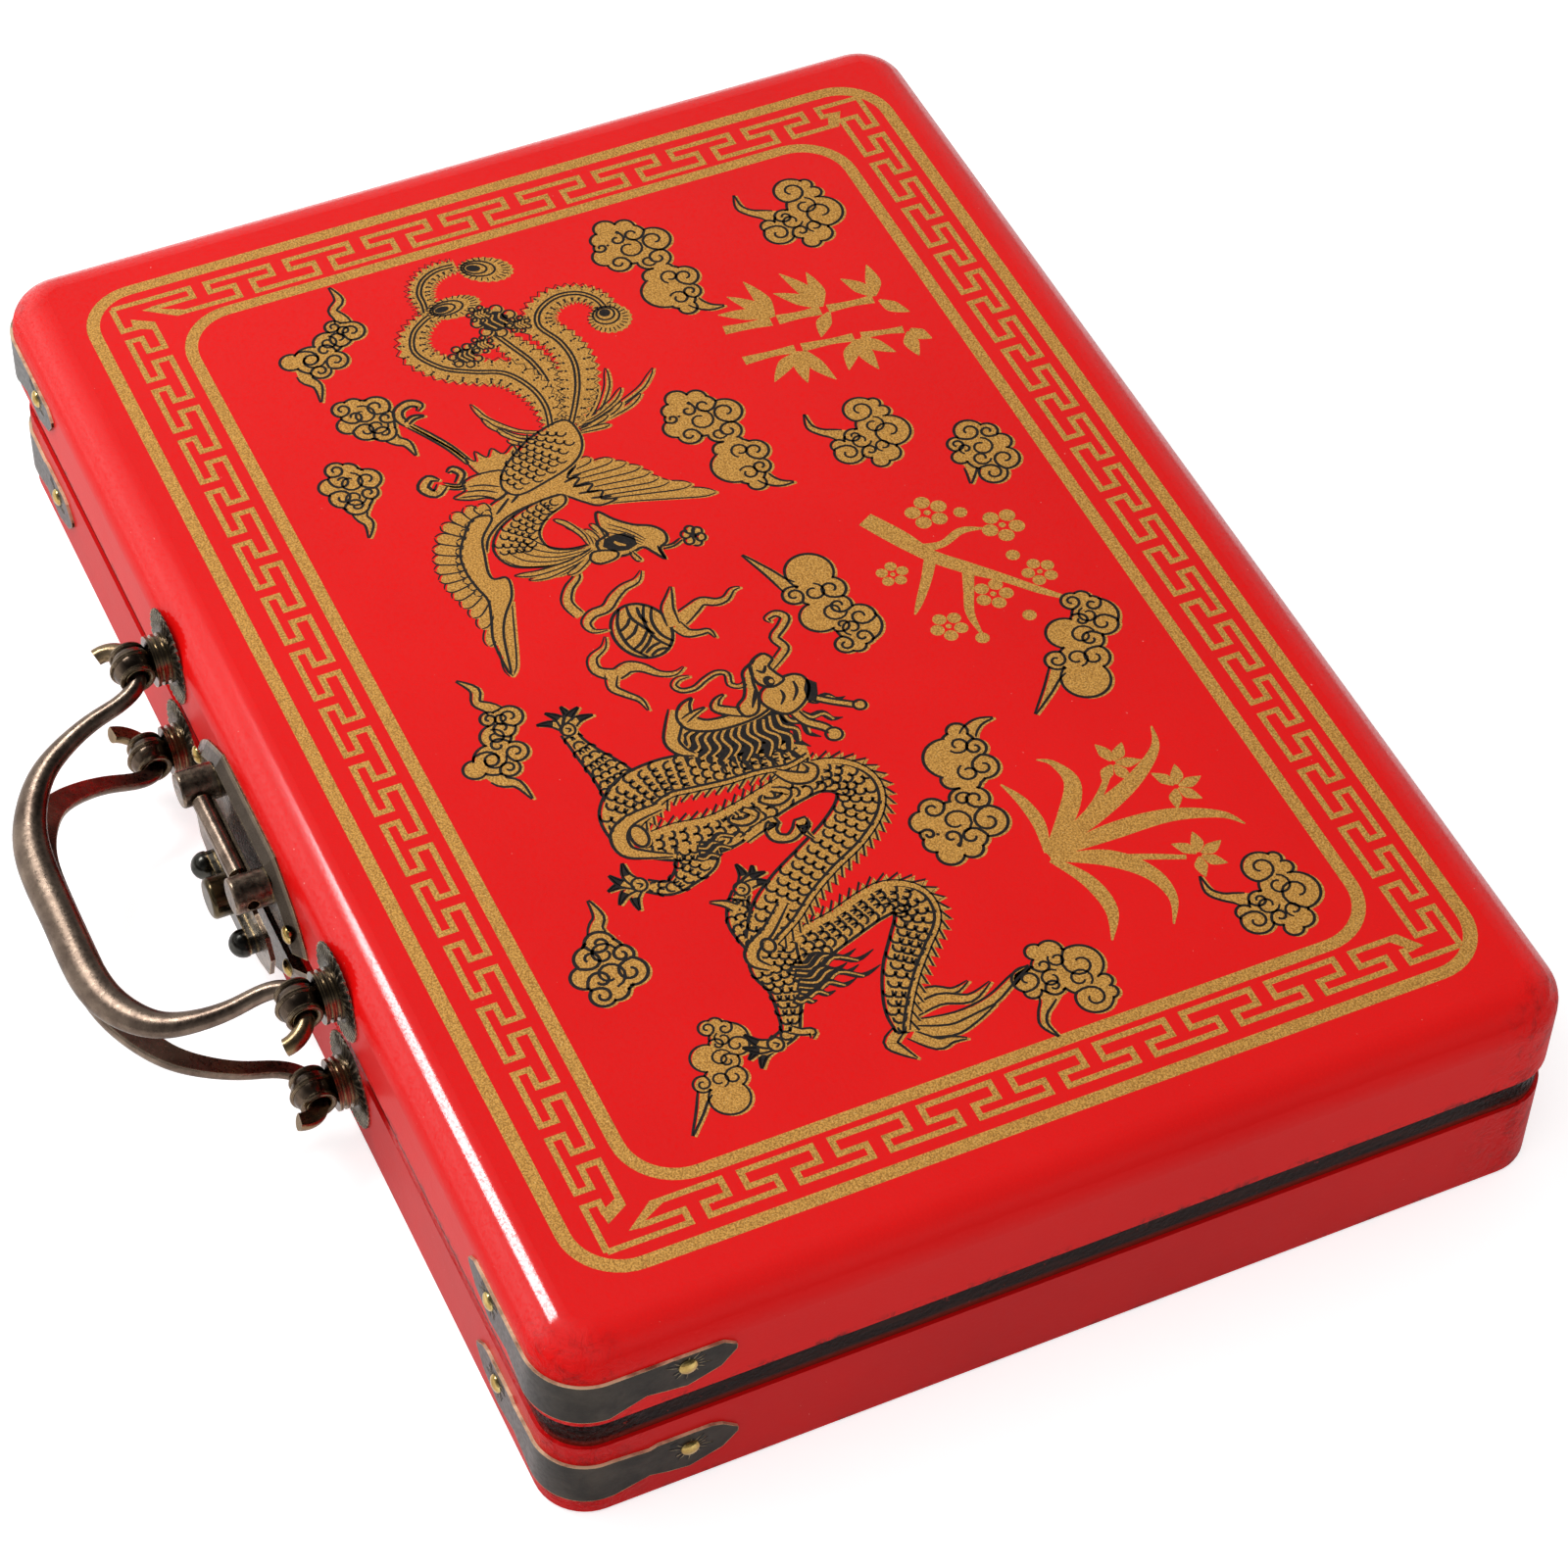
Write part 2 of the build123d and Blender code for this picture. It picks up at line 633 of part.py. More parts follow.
# --- thumb bar on the flap, with a ball stud near each end and a knob in the middle ---
with BuildPart() as flap_bar:
    with BuildSketch(front_place(fitting_centre, flap_front, bar_height)):
        SlotOverall(2 * bar_half_length, 2 * bar_half_height)
        with Locations((0, knob_height - bar_height)):
            Circle(knob_radius, mode=Mode.SUBTRACT)
    extrude(amount=bar_thickness)
keep(flap_bar, "flap_bar")

with BuildPart() as flap_knob:
    with BuildSketch(front_place(fitting_centre, flap_front, knob_height)):
        Circle(knob_radius)
    extrude(amount=bar_thickness + knob_length)
    fillet(flap_knob.edges().group_by(Axis.Y)[0], knob_round)
keep(flap_knob, "flap_knob")

with BuildPart() as flap_stud:
    with Locations((0, 0, stud_centre)):
        Sphere(stud_radius)
    split(bisect_by=Plane.XY, keep=Keep.TOP)
bar_front = flap_front - bar_thickness
stud_places = [front_place(fitting_centre + side * stud_side, bar_front, bar_height) for side in (-1, 1)]
keep_group(flap_stud, stud_places, "flap_studs")

catch_back = base_front - plate_sheet
with BuildPart() as latch_catch:
    with BuildSketch(front_place(fitting_centre, catch_back, base_plate_top - plate_nail_in)):
        Circle(catch_radius)
    extrude(amount=catch_back - flap_back - catch_gap)
    fillet(latch_catch.edges().group_by(Axis.Y)[0], catch_round)
keep(latch_catch, "latch_catch")

# --- back hinges: two leaves with interleaved knuckles on one pin ---
knuckle = (hinge_width - (knuckle_count - 1) * knuckle_gap) / knuckle_count
knuckle_step = knuckle + knuckle_gap


def build_leaf(middle, up, nails):
    """One leaf; up is 1 for the lid's, with the inner knuckles, and -1 for the base's."""
    own = [number for number in range(knuckle_count) if number % 2 == (1 if up == 1 else 0)]
    other = [number for number in range(knuckle_count) if number not in own]
    half_count = (knuckle_count - 1) / 2
    reach = barrel_radius + leaf_height
    with BuildPart() as leaf:
        with BuildSketch(Plane(origin=(middle, lid_back, hinge_z), x_dir=(-1, 0, 0), z_dir=(0, 1, 0))):
            Rectangle(hinge_width, reach, align=(Align.CENTER, Align.MIN if up == 1 else Align.MAX))
            fillet([corner for corner in vertices() if abs(corner.Z) > leaf_height], leaf_round)
            with Locations(*[((number - half_count) * knuckle_step, 0) for number in other]):
                Rectangle(knuckle + 2 * knuckle_gap, 2 * (barrel_radius + knuckle_gap), mode=Mode.SUBTRACT)
        extrude(amount=leaf_sheet)
        with Locations(*[(middle + (number - half_count) * knuckle_step, hinge_y, hinge_z) for number in own]):
            Cylinder(barrel_radius, knuckle, rotation=(0, 90, 0))
        with Locations((middle, hinge_y, hinge_z)):
            bore = barrel_pin + (pin_clearance if up == 1 else 0)
            Cylinder(bore, 2 * hinge_width, rotation=(0, 90, 0), mode=Mode.SUBTRACT)
        drill(nails, nail_shank, nail_length)
    return leaf


for side, side_name in ((-1, "left"), (1, "right")):
    keep(build_leaf(side * hinge_place, 1, lid_leaf_nails), f"lid_hinge_leaf_{side_name}")
    keep(build_leaf(side * hinge_place, -1, base_leaf_nails), f"base_hinge_leaf_{side_name}")

with BuildPart() as hinge_pins:
    with Locations(*[(side * hinge_place, hinge_y, hinge_z) for side in (-1, 1)]):
        Cylinder(barrel_pin, hinge_width, rotation=(0, 90, 0))
keep(hinge_pins, "hinge_pins")
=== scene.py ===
import bpy
import bmesh
from math import atan2, ceil, cos, hypot, pi, radians, sin
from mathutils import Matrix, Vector


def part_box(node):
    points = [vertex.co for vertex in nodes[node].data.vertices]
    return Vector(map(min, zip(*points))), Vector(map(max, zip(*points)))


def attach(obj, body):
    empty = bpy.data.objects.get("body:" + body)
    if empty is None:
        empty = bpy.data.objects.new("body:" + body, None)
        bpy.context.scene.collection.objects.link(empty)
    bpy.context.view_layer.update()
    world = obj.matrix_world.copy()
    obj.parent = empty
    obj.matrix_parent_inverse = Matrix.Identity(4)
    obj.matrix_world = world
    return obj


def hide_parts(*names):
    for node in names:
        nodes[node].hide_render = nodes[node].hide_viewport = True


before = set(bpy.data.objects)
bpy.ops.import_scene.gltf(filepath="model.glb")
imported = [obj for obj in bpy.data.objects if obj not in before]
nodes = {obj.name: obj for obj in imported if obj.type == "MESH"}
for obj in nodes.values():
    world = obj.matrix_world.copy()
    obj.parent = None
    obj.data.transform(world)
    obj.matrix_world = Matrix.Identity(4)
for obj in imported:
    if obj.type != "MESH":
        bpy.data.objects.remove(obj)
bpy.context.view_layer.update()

# --- view ---
# The closed case lies on its base and is seen from beyond its front right corner, about half a metre
# above the table, so that its handle points to the lower left.
view = bpy.data.cameras.new("view")
view.lens = 103.51
view.shift_x = 0.0134
view.shift_y = -0.0023
camera = bpy.data.objects.new("view", view)
camera.location = (0.43989, -0.20969, 0.56016)
camera.rotation_euler = [radians(angle) for angle in (41.071, -1.25, 65.389)]
bpy.context.scene.collection.objects.link(camera)
bpy.context.scene.camera = camera

# --- red leather of the lid and base ---
# Thin bonded leather, coated with bright red lacquer and glued over the boards. The coating is glossy,
# a little uneven like orange peel, creased where the leather is folded round the corners, and marked
# by rubbing along the edges.


def paint(red, green, blue):
    """A colour as a paint chart gives it, 0 to 255, for a shader."""
    return [(c / 255 / 12.92 if c < 10.3 else ((c / 255 + 0.055) / 1.055) ** 2.4) for c in (red, green, blue)] + [1]


def put(tree, kind, feeds=None, **settings):
    """Adds a node with its settings; feeds gives its inputs a value or the socket that drives them."""
    node = tree.nodes.new("ShaderNode" + kind)
    for name, value in settings.items():
        setattr(node, name, value)
    for name, value in (feeds or {}).items():
        if isinstance(value, bpy.types.NodeSocket):
            tree.links.new(value, node.inputs[name])
        else:
            node.inputs[name].default_value = value
    return node


def new_group(name, inputs, outputs):
    """An empty node group; inputs are names with a colour or a number, outputs are names with a kind."""
    group = bpy.data.node_groups.new(name, "ShaderNodeTree")
    for title, value in inputs.items():
        kind = "NodeSocketColor" if isinstance(value, list) else "NodeSocketFloat"
        group.interface.new_socket(title, in_out="INPUT", socket_type=kind).default_value = value
    for title, kind in outputs.items():
        group.interface.new_socket(title, in_out="OUTPUT", socket_type="NodeSocket" + kind)
    return group, group.nodes.new("NodeGroupInput").outputs, group.nodes.new("NodeGroupOutput")


def noise(tree, where, scale, detail=3, rough=0.5, warp=0):
    """Even noise of the given number of cells to the metre."""
    return put(
        tree, "TexNoise", {"Vector": where, "Scale": scale, "Detail": detail, "Roughness": rough, "Distortion": warp}
    ).outputs["Fac"]


def between(tree, value, low, high, to_low=0.0, to_high=1.0):
    """The value spread from low..high to to_low..to_high and held there."""
    feeds = {"Value": value, "From Min": low, "From Max": high, "To Min": to_low, "To Max": to_high}
    return put(tree, "MapRange", feeds).outputs["Result"]


def blend_colour(tree, share, first, second):
    """First colour where share is 0, second where it is 1."""
    mix = put(tree, "Mix", data_type="RGBA")
    for slot, value in ((0, share), (6, first), (7, second)):
        if isinstance(value, bpy.types.NodeSocket):
            tree.links.new(value, mix.inputs[slot])
        else:
            mix.inputs[slot].default_value = value
    return mix.outputs[2]


def sum_of(tree, first, second, operation="ADD"):
    return put(tree, "Math", {0: first, 1: second}, operation=operation).outputs[0]


def new_material(name, **fixed):
    """A material with its shader's fixed values; gives its tree, shader and object coordinates."""
    material = bpy.data.materials.new(name)
    material.use_nodes = True
    tree = material.node_tree
    shader = tree.nodes["Principled BSDF"]
    for title, value in fixed.items():
        shader.inputs[title.replace("_", " ")].default_value = value
    return material, tree, shader, put(tree, "TexCoord").outputs["Object"]


def bump(tree, shader, height, depth):
    """Raises the surface by up to depth metres where height is 1."""
    relief = put(tree, "Bump", {"Height": height, "Distance": depth})
    tree.links.new(relief.outputs[0], shader.inputs["Normal"])


def place_group(tree, group, where, **values):
    """Puts a group into a material with its own values."""
    node = put(tree, "Group", node_tree=group)
    tree.links.new(where, node.inputs["Vector"])
    for title, value in values.items():
        node.inputs[title.replace("_", " ")].default_value = value
    return node.outputs


# orange peel, slack waves, and creases where the coating is folded round the upright corners
coating, inside, out = new_group(
    "coating_relief", {"Vector": 0.0, "Half Length": 0.12, "Half Width": 0.083}, {"Height": "Float", "Corner": "Float", "Gloss": "Float"}
)
coating.interface.items_tree["Vector"].socket_type = "NodeSocketVector"
across = put(coating, "SeparateXYZ", {0: inside["Vector"]}).outputs
inward = [
    sum_of(coating, size, put(coating, "Math", {0: across[axis]}, operation="ABSOLUTE").outputs[0], "SUBTRACT")
    for axis, size in (("X", inside["Half Length"]), ("Y", inside["Half Width"]))
]
from_corner = sum_of(coating, sum_of(coating, inward[0], inward[1]), 0.0, "MAXIMUM")
corner = between(coating, from_corner, 0.016, 0.006)
folds = noise(coating, inside["Vector"], 420.0, 4, 0.6, 1.2)
peel = noise(coating, inside["Vector"], 1400.0, 2)
waves = noise(coating, inside["Vector"], 70.0, 2)
height = sum_of(coating, sum_of(coating, peel, 0.10, "MULTIPLY"), sum_of(coating, waves, 0.55, "MULTIPLY"))
height = sum_of(coating, height, sum_of(coating, sum_of(coating, folds, corner, "MULTIPLY"), 2.4, "MULTIPLY"))
coating.links.new(height, out.inputs["Height"])
coating.links.new(corner, out.inputs["Corner"])
pits = between(coating, noise(coating, inside["Vector"], 2400.0, 2, 0.6), 0.34, 0.52, 0.45, 1)
pits = sum_of(coating, pits, between(coating, sum_of(coating, folds, corner, "MULTIPLY"), 0.30, 0.55, 1, 0.3), "MULTIPLY")
coating.links.new(pits, out.inputs["Gloss"])


def red_coating(name, light, dark, low, high, half_length, half_width):
    """Red lacquer between two shades, rubbed darker at the corners and towards the edge low above the table."""
    material, tree, shader, where = new_material(
        name, Roughness=0.45, Specular_IOR_Level=0.08, Coat_Roughness=0.13, Coat_IOR=1.75
    )
    # the upright sides are rubbed duller than the top and its rounded edge
    upright = put(tree, "SeparateXYZ", {0: where.node.outputs["Normal"]}).outputs["Z"]
    relief = place_group(tree, coating, where, Half_Length=half_length, Half_Width=half_width)
    gloss = sum_of(tree, between(tree, upright, 0.45, 0.80, 0.10, 1.0), relief["Gloss"], "MULTIPLY")
    tree.links.new(gloss, shader.inputs["Coat Weight"])
    shade = between(tree, noise(tree, where, 14, 4, 0.6), 0.3, 0.7)
    colour = blend_colour(tree, shade, light, dark)
    height = put(tree, "SeparateXYZ", {0: where}).outputs["Z"]
    scuffs = between(tree, noise(tree, where, 300, 6, 0.75, 0.6), 0.50, 0.66)
    near_low = between(tree, height, low + 0.0016, low + 0.0002)
    edge = sum_of(tree, near_low, sum_of(tree, relief["Corner"], 0.55, "MULTIPLY"), "MAXIMUM")
    colour = blend_colour(tree, sum_of(tree, scuffs, edge, "MULTIPLY"), colour, paint(96, 12, 12))
    specks = between(tree, noise(tree, where, 1300, 2), 0.77, 0.80, 0, 0.7)
    colour = blend_colour(tree, specks, colour, paint(252, 150, 140))
    tree.links.new(colour, shader.inputs["Base Color"])
    bump(tree, shader, relief["Height"], 0.0003)
    return material


def dress(material, *names):
    """Gives whole CAD nodes one material."""
    for name in names:
        nodes[name].data.materials.clear()
        nodes[name].data.materials.append(material)


lid_red = red_coating("lid_red", paint(240, 16, 14), paint(230, 10, 10), 0.0243, 0.0415, 0.120, 0.083)
dress(lid_red, "lid_leather")
base_red = red_coating("base_red", paint(226, 12, 14), paint(206, 8, 12), 0.0, 0.0168, 0.119, 0.082)
dress(base_red, "base_side_leather", "base_bottom_leather")

# --- printed border ---
# Two gold lines and a key-fret between them, silk-screened on the lacquer in grainy bronze-gold ink.
# The artwork is set out on squares of 0.1455 mm, across from the left and down from the back.
square = 0.0001455


def on_lid(x, y):
    """A point of the artwork on the lid's top, in metres."""
    return (x - 862.5) * square, (612 - y) * square + 0.00055


gold_ink, tree, shader, where = new_material("gold_ink", Roughness=0.5, Metallic=0.3, Specular_IOR_Level=0.4)
grains = noise(tree, where, 3200, 2, 0.7)
colour = blend_colour(tree, between(tree, grains, 0.38, 0.62), paint(168, 116, 46), paint(236, 176, 86))
glints = between(tree, noise(tree, where, 4500, 1), 0.66, 0.74)
colour = blend_colour(tree, glints, colour, paint(250, 206, 132))
worn = between(tree, noise(tree, where, 2600, 3, 0.8), 0.70, 0.78, 0, 0.55)
tree.links.new(blend_colour(tree, worn, colour, paint(186, 48, 30)), shader.inputs["Base Color"])
bump(tree, shader, grains, 0.00004)

black_ink, tree, shader, where = new_material("black_ink", Roughness=0.5, Specular_IOR_Level=0.4)
grains = between(tree, noise(tree, where, 3000, 2, 0.7), 0.45, 0.75)
tree.links.new(blend_colour(tree, grains, paint(22, 18, 18), paint(50, 38, 30)), shader.inputs["Base Color"])


def bend(points, closed=False, steps=4):
    """A smooth line through given points, which may carry a half width as a third number."""
    count = len(points)
    line = []
    for start in range(count if closed else count - 1):
        near = [points[i % count] if closed else points[min(max(i, 0), count - 1)] for i in range(start - 1, start + 3)]
        for step in range(steps):
            t = step / steps
            line.append(tuple(
                0.5 * (2 * b + (c - a) * t + (2 * a - 5 * b + 4 * c - d) * t * t + (3 * b - a - 3 * c + d) * t ** 3)
                for a, b, c, d in zip(*near)
            ))
    return line if closed else line + [tuple(points[-1])]


def edges_of(line):
    """Both edges of a strip whose middle line gives x, y and half width."""
    first, second = [], []
    for i, (x, y, half) in enumerate(line):
        before, after = line[max(i - 1, 0)], line[min(i + 1, len(line) - 1)]
        dx, dy = after[0] - before[0], after[1] - before[1]
        length = hypot(dx, dy) or 1
        first.append((x - dy / length * half, y + dx / length * half))
        second.append((x + dy / length * half, y - dx / length * half))
    return first, second


class Print:
    """One printed figure: gold areas and black lines, laid on the lid as thin films of ink."""

    gold_shift = (2.2, -2.4)  # the gold screen sits a little off the black one

    def __init__(self):
        self.films = []

    def area(self, outline, ink=0):
        """A filled closed outline, gold (0) or black (1)."""
        move = self.gold_shift if ink == 0 else (0, 0)
        self.films.append((ink, [on_lid(x + move[0], y + move[1]) for x, y in outline], None))

    def strip(self, line, ink=1):
        """A strip along a line of x, y and half width."""
        move = self.gold_shift if ink == 0 else (0, 0)
        sides = [[on_lid(x + move[0], y + move[1]) for x, y in side] for side in edges_of(line)]
        self.films.append((ink, *sides))

    def line(self, points, half=1.95, taper=0.35, smooth=True):
        """A black pen line, drawn out thin at its ends."""
        path = bend(points) if smooth else points
        last = len(path) - 1
        weight = [half * (1 - taper * abs(2 * i / last - 1) ** 3) for i in range(last + 1)]
        self.strip([(x, y, w) for (x, y), w in zip(path, weight)])

    def form(self, points, half=1.7):
        """A smooth closed gold form with a black outline."""
        outline = bend(points, closed=True)
        self.area(outline)
        self.line(outline + outline[:1], half, 0, smooth=False)

    def ribbon(self, points, half=1.5):
        """A gold ribbon with black edges; its points give x, y and half width."""
        path = bend(points)
        self.strip([(x, y, w + 0.6) for x, y, w in path], 0)
        for side in edges_of(path):
            self.line(side, half, 0.5, smooth=False)

    def lay(self, name):
        """Makes the figure's mesh and fixes it to the lid."""
        low, laid = 0.04149, {}  # laid: how high the ink stands in each small cell of the lid, and which ink it is
        mesh = bpy.data.meshes.new(name)
        shape = bmesh.new()
        for ink, first, second in self.films:
            parts = [first] if second is None else [first[i:i + 2] + second[i:i + 2] for i in range(len(first) - 1)]
            cells = set()
            for part in parts:
                left, right, near, far = [round(pick(axis) / (2 * square)) for axis in zip(*part) for pick in (min, max)]
                cells.update((i, j) for i in range(left, right + 1) for j in range(near, far + 1))
            under = [laid[cell] for cell in cells if cell in laid]
            level = max([step + (not ink or not below) for step, below in under], default=0)
            laid.update((cell, (level, ink)) for cell in cells)
            high = 0.041504 + level * 0.000001
            rings = []
            if second is None:
                rings = [[shape.verts.new((x, y, z)) for x, y in first] for z in (low, high)]
                made = [shape.faces.new(ring) for ring in rings]
                closed = list(zip(*rings))
                for (a, b), (c, d) in zip(closed, closed[1:] + closed[:1]):
                    made.append(shape.faces.new((a, c, d, b)))
            else:
                for (ax, ay), (bx, by) in zip(first, second):
                    corners = (ax, ay, low), (bx, by, low), (bx, by, high), (ax, ay, high)
                    rings.append([shape.verts.new(corner) for corner in corners])
                made = [shape.faces.new(rings[0]), shape.faces.new(rings[-1])]
                for one, two in zip(rings, rings[1:]):
                    for i in range(4):
                        made.append(shape.faces.new((one[i], one[(i + 1) % 4], two[(i + 1) % 4], two[i])))
            for face in made:
                face.material_index = ink
        bmesh.ops.recalc_face_normals(shape, faces=shape.faces)
        shape.to_mesh(mesh)
        shape.free()
        for ink in (gold_ink, black_ink):
            mesh.materials.append(ink)
        piece = bpy.data.objects.new(name, mesh)
        bpy.context.scene.collection.objects.link(piece)
        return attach(piece, "lid")


def rounded_loop(left, top, right, bottom, radius):
    """A rectangle with rounded corners, as a closed line."""
    corners = ((right - radius, bottom - radius, 0), (left + radius, bottom - radius, 90),
               (left + radius, top + radius, 180), (right - radius, top + radius, 270))
    return [
        (x + radius * cos(radians(turn + 9 * step)), y + radius * sin(radians(turn + 9 * step)))
        for x, y, turn in corners for step in range(11)
    ]


border = Print()
border.gold_shift = (0, 0)
for left, top, right, bottom, radius, half in (
    (119.5, 108.5, 1604.5, 1111.5, 60, 7.6), (195.5, 194.5, 1526.5, 1020.5, 62, 7.3)
):
    loop = rounded_loop(left, top, right, bottom, radius)
    border.strip([(x, y, half) for x, y in loop + loop[:1]], 0)


def key_fret(length, first, steps, last, opening, closing):
    """The key-fret along one side: distances along it and in from its outer line, and the barbs' places.

    Opening and closing give the tip and the root of the barb at either end, or nothing for a plain hook."""
    pitch = (length - last - first) / steps
    parts, path, barbs = [], [(0, 0)], []
    for step in range(steps):
        start = first + step * pitch
        if step:
            path.append((start, 0))
        path += [(start + 0.785 * pitch, 0), (start + 0.785 * pitch, 16)]
        if opening and not step:
            parts.append(path + [(opening[0] + 12, 16)])
            path = [(opening[1], 35.5)]
            barbs.append((*opening, 1))
        else:
            path += [(start + 0.52 * pitch, 16), (start + 0.52 * pitch, 35.5)]
        if closing and step == steps - 1:
            parts.append(path + [(closing[1], 35.5)])
            path = [(closing[0] - 12, 16)]
            barbs.append((*closing, -1))
        else:
            path += [(start + 1.3 * pitch, 35.5), (start + 1.3 * pitch, 16)]
        path.append((start + pitch, 16))
    return parts + [path + [(length - last, 0), (length, 0)]], barbs


def mitred(path, half):
    """Gives a square-cornered line its width, with square corners."""
    line = [(*path[0], half)]
    sides = ([], [])
    for i, (x, y) in enumerate(path):
        ax, ay = path[max(i - 1, 0)]
        bx, by = path[min(i + 1, len(path) - 1)]
        one = Vector((x - ax, y - ay)).normalized() if i else Vector((bx - x, by - y)).normalized()
        two = Vector((bx - x, by - y)).normalized() if i < len(path) - 1 else one
        across = Vector((-one.y - two.y, one.x + two.x))
        across *= half * 2 / across.length_squared
        sides[0].append((x + across.x, y + across.y))
        sides[1].append((x - across.x, y - across.y))
    return sides


west, north, east, south = 143, 131.5, 1580, 1080
for place, length, first, steps, last, opening, closing in (
    (lambda along, deep: (west + along, north + deep), east - west, -15, 16, 55, None, None),
    (lambda along, deep: (east - along, south - deep), east - west, -11.8, 16, 39.2, (30, 44), (1413, 1399)),
    (lambda along, deep: (west + deep, south - along), south - north, 16.4, 9, 54.1, (31.5, 66), (919, 906)),
    (lambda along, deep: (east - deep, north + along), south - north, -18.5, 9, 88, (35, 54), (919.5, 887)),
):
    runs, barbs = key_fret(length, first, steps, last, opening, closing)
    for run in runs:
        first_edge, second_edge = mitred([place(*p) for p in run], 3.5)
        border.films.append((0, [on_lid(*p) for p in first_edge], [on_lid(*p) for p in second_edge]))
    for tip, root, way in barbs:
        border.area([place(*p) for p in
                     ((tip, 14.5), (root, 39), (root + 11 * way, 32), (tip + 19 * way, 19.5), (tip + 19 * way, 12.5))])
border.lay("border_print")

# --- printed clouds ---
# Curled lucky clouds in gold with a black outline, scattered round the two animals. Each is a cluster
# of lobes whose outline rolls up inside it, with one or two drawn-out tails.


def cloud(figure, x, y, lobes, filling, tails, mirror=1, turn=0, size=1.0):
    """One cloud; a lobe is x, y, radius, where its line starts (not used) and how far it turns, clockwise."""
    c, s = cos(radians(turn)) * size, sin(radians(turn)) * size

    def put_down(across, down):
        across *= mirror
        return x + across * c - down * s, y + across * s + down * c

    for across, down, radius, *_ in lobes + filling:
        figure.area([
            put_down(across + (radius + 1.2) * cos(pi * i / 12), down + (radius + 1.2) * sin(pi * i / 12))
            for i in range(24)
        ])
    for tail in tails:
        path = bend([(*put_down(across, down), half * size) for across, down, half in tail])
        figure.strip([(px, py, half + 0.8) for px, py, half in path], 0)
        for side in edges_of(path):
            figure.line(side[3:], 1.6, 0.3, smooth=False)
    rounds = [lobe[:3] for lobe in lobes + filling]
    for number, (across, down, radius) in enumerate(rounds):
        others = rounds[:number] + rounds[number + 1:]
        open_at = [
            all(hypot(across + radius * cos(radians(7.5 * i)) - a, down + radius * sin(radians(7.5 * i)) - d) > r - 0.4
                for a, d, r in others)
            for i in range(48)
        ]
        runs = []
        for i in range(48):
            if open_at[i] and not open_at[i - 1]:
                run = [i]
                while open_at[(run[-1] + 1) % 48]:
                    run.append(run[-1] + 1)
                runs.append([run[0] - 1] + run + [run[-1] + 1])
        sweep = lobes[number][4] if number < len(lobes) else 0
        for run in runs:
            path = [(radius, 7.5 * i) for i in run]
            if abs(sweep) > 250 and len(run) == max(len(other) for other in runs):
                sign = 1 if sweep > 0 else -1
                path = path[::sign]
                path += [(radius * (1 - 0.74 * (i / 14) ** 0.55), path[-1][1] + sign * 26 * i) for i in range(1, 15)]
            figure.line([
                put_down(across + reach * cos(radians(angle)), down + reach * sin(radians(angle))) for reach, angle in path
            ], 1.75 * size, 0.2, smooth=False)
    for number, (across, down, radius) in enumerate(filling):
        path = []
        for i in range(15):
            reach, angle = radius * 0.66 * (1 - 0.6 * i / 14), radians(200 + 95 * number + 27 * i)
            path.append(put_down(across + reach * cos(angle), down + reach * sin(angle)))
        figure.line(path, 1.6 * size, 0.2, smooth=False)


mushroom = (
    [(8, -31, 26, 175, 470), (-38, -14, 21, 215, -520), (-42, -33, 9, 150, 200), (-26, -38, 9, 170, 190),
     (42, -15, 14, 215, 230), (50, 0, 11, 280, 200), (30, 4, 13, 60, 300), (0, 12, 12, 180, -400),
     (24, 30, 18, -50, 420), (8, 36, 10, 30, 130)],
    [(-8, -18, 22), (10, 8, 20), (28, -14, 16)],
    [[(2, 18, 15), (-12, 32, 8), (-22, 46, 5), (-36, 55, 4), (-58, 52, 0.5)]],
)
wave = (
    [(-42, -20, 20, 190, 470), (-60, 0, 16, 200, 430), (-75, 3, 12, 250, -200), (-80, 25, 14, 270, -220),
     (-58, 20, 12, 190, 400), (-64, 38, 12, 200, -180), (-52, 42, 9, 0, -330), (-36, 44, 15, 150, -150),
     (-20, 33, 14, 200, -360), (-30, 10, 16, 0, -470), (-11, -12, 15, 190, -450), (12, -9, 13, 200, 200),
     (16, 6, 12, 20, 180), (30, -28, 16, 180, 430), (41, -2, 20, 200, 460), (45, 4, 27, 20, 140),
     (56, -24, 12, 180, 400), (80, -10, 11, 300, 200)],
    [(-38, 12, 26), (-10, 0, 14), (24, -12, 18), (62, -8, 18)],
    [[(60, -16, 10), (78, -22, 8), (90, -34, 5), (94, -50, 0.8)]],
)
swallow = (
    [(-42, -2, 21, 165, -460), (-44, -4, 27, 190, 110), (-12, -15, 17, 180, 480), (14, -12, 15, 230, 260),
     (38, -27, 17, 180, 470), (50, -20, 25, 230, 120), (66, -17, 12, 350, -360), (75, -6, 10, 270, 180),
     (70, 5, 12, 20, 360), (42, -4, 12, 0, -330), (17, 7, 18, 20, -460), (22, 14, 22, 340, 140),
     (-18, 26, 13, 160, -400)],
    [(-14, 4, 20), (20, -4, 22), (50, -12, 18)],
    [[(-14, 16, 16), (-38, 29, 8), (-62, 38, 5), (-96, 53, 0.8)]],
)
posy = (
    [(-32, 4, 17, 240, -500), (-24, -15, 12, 120, 330), (-3, -22, 12, 190, 150), (22, -14, 17, 210, 480),
     (38, 8, 16, 200, 480), (-18, 26, 11, 200, -360), (2, 31, 10, 180, -150)],
    [(-4, 2, 22), (12, 10, 17), (-8, 20, 12)],
    [[(8, 24, 11), (26, 30, 6), (44, 39, 0.8)]],
)
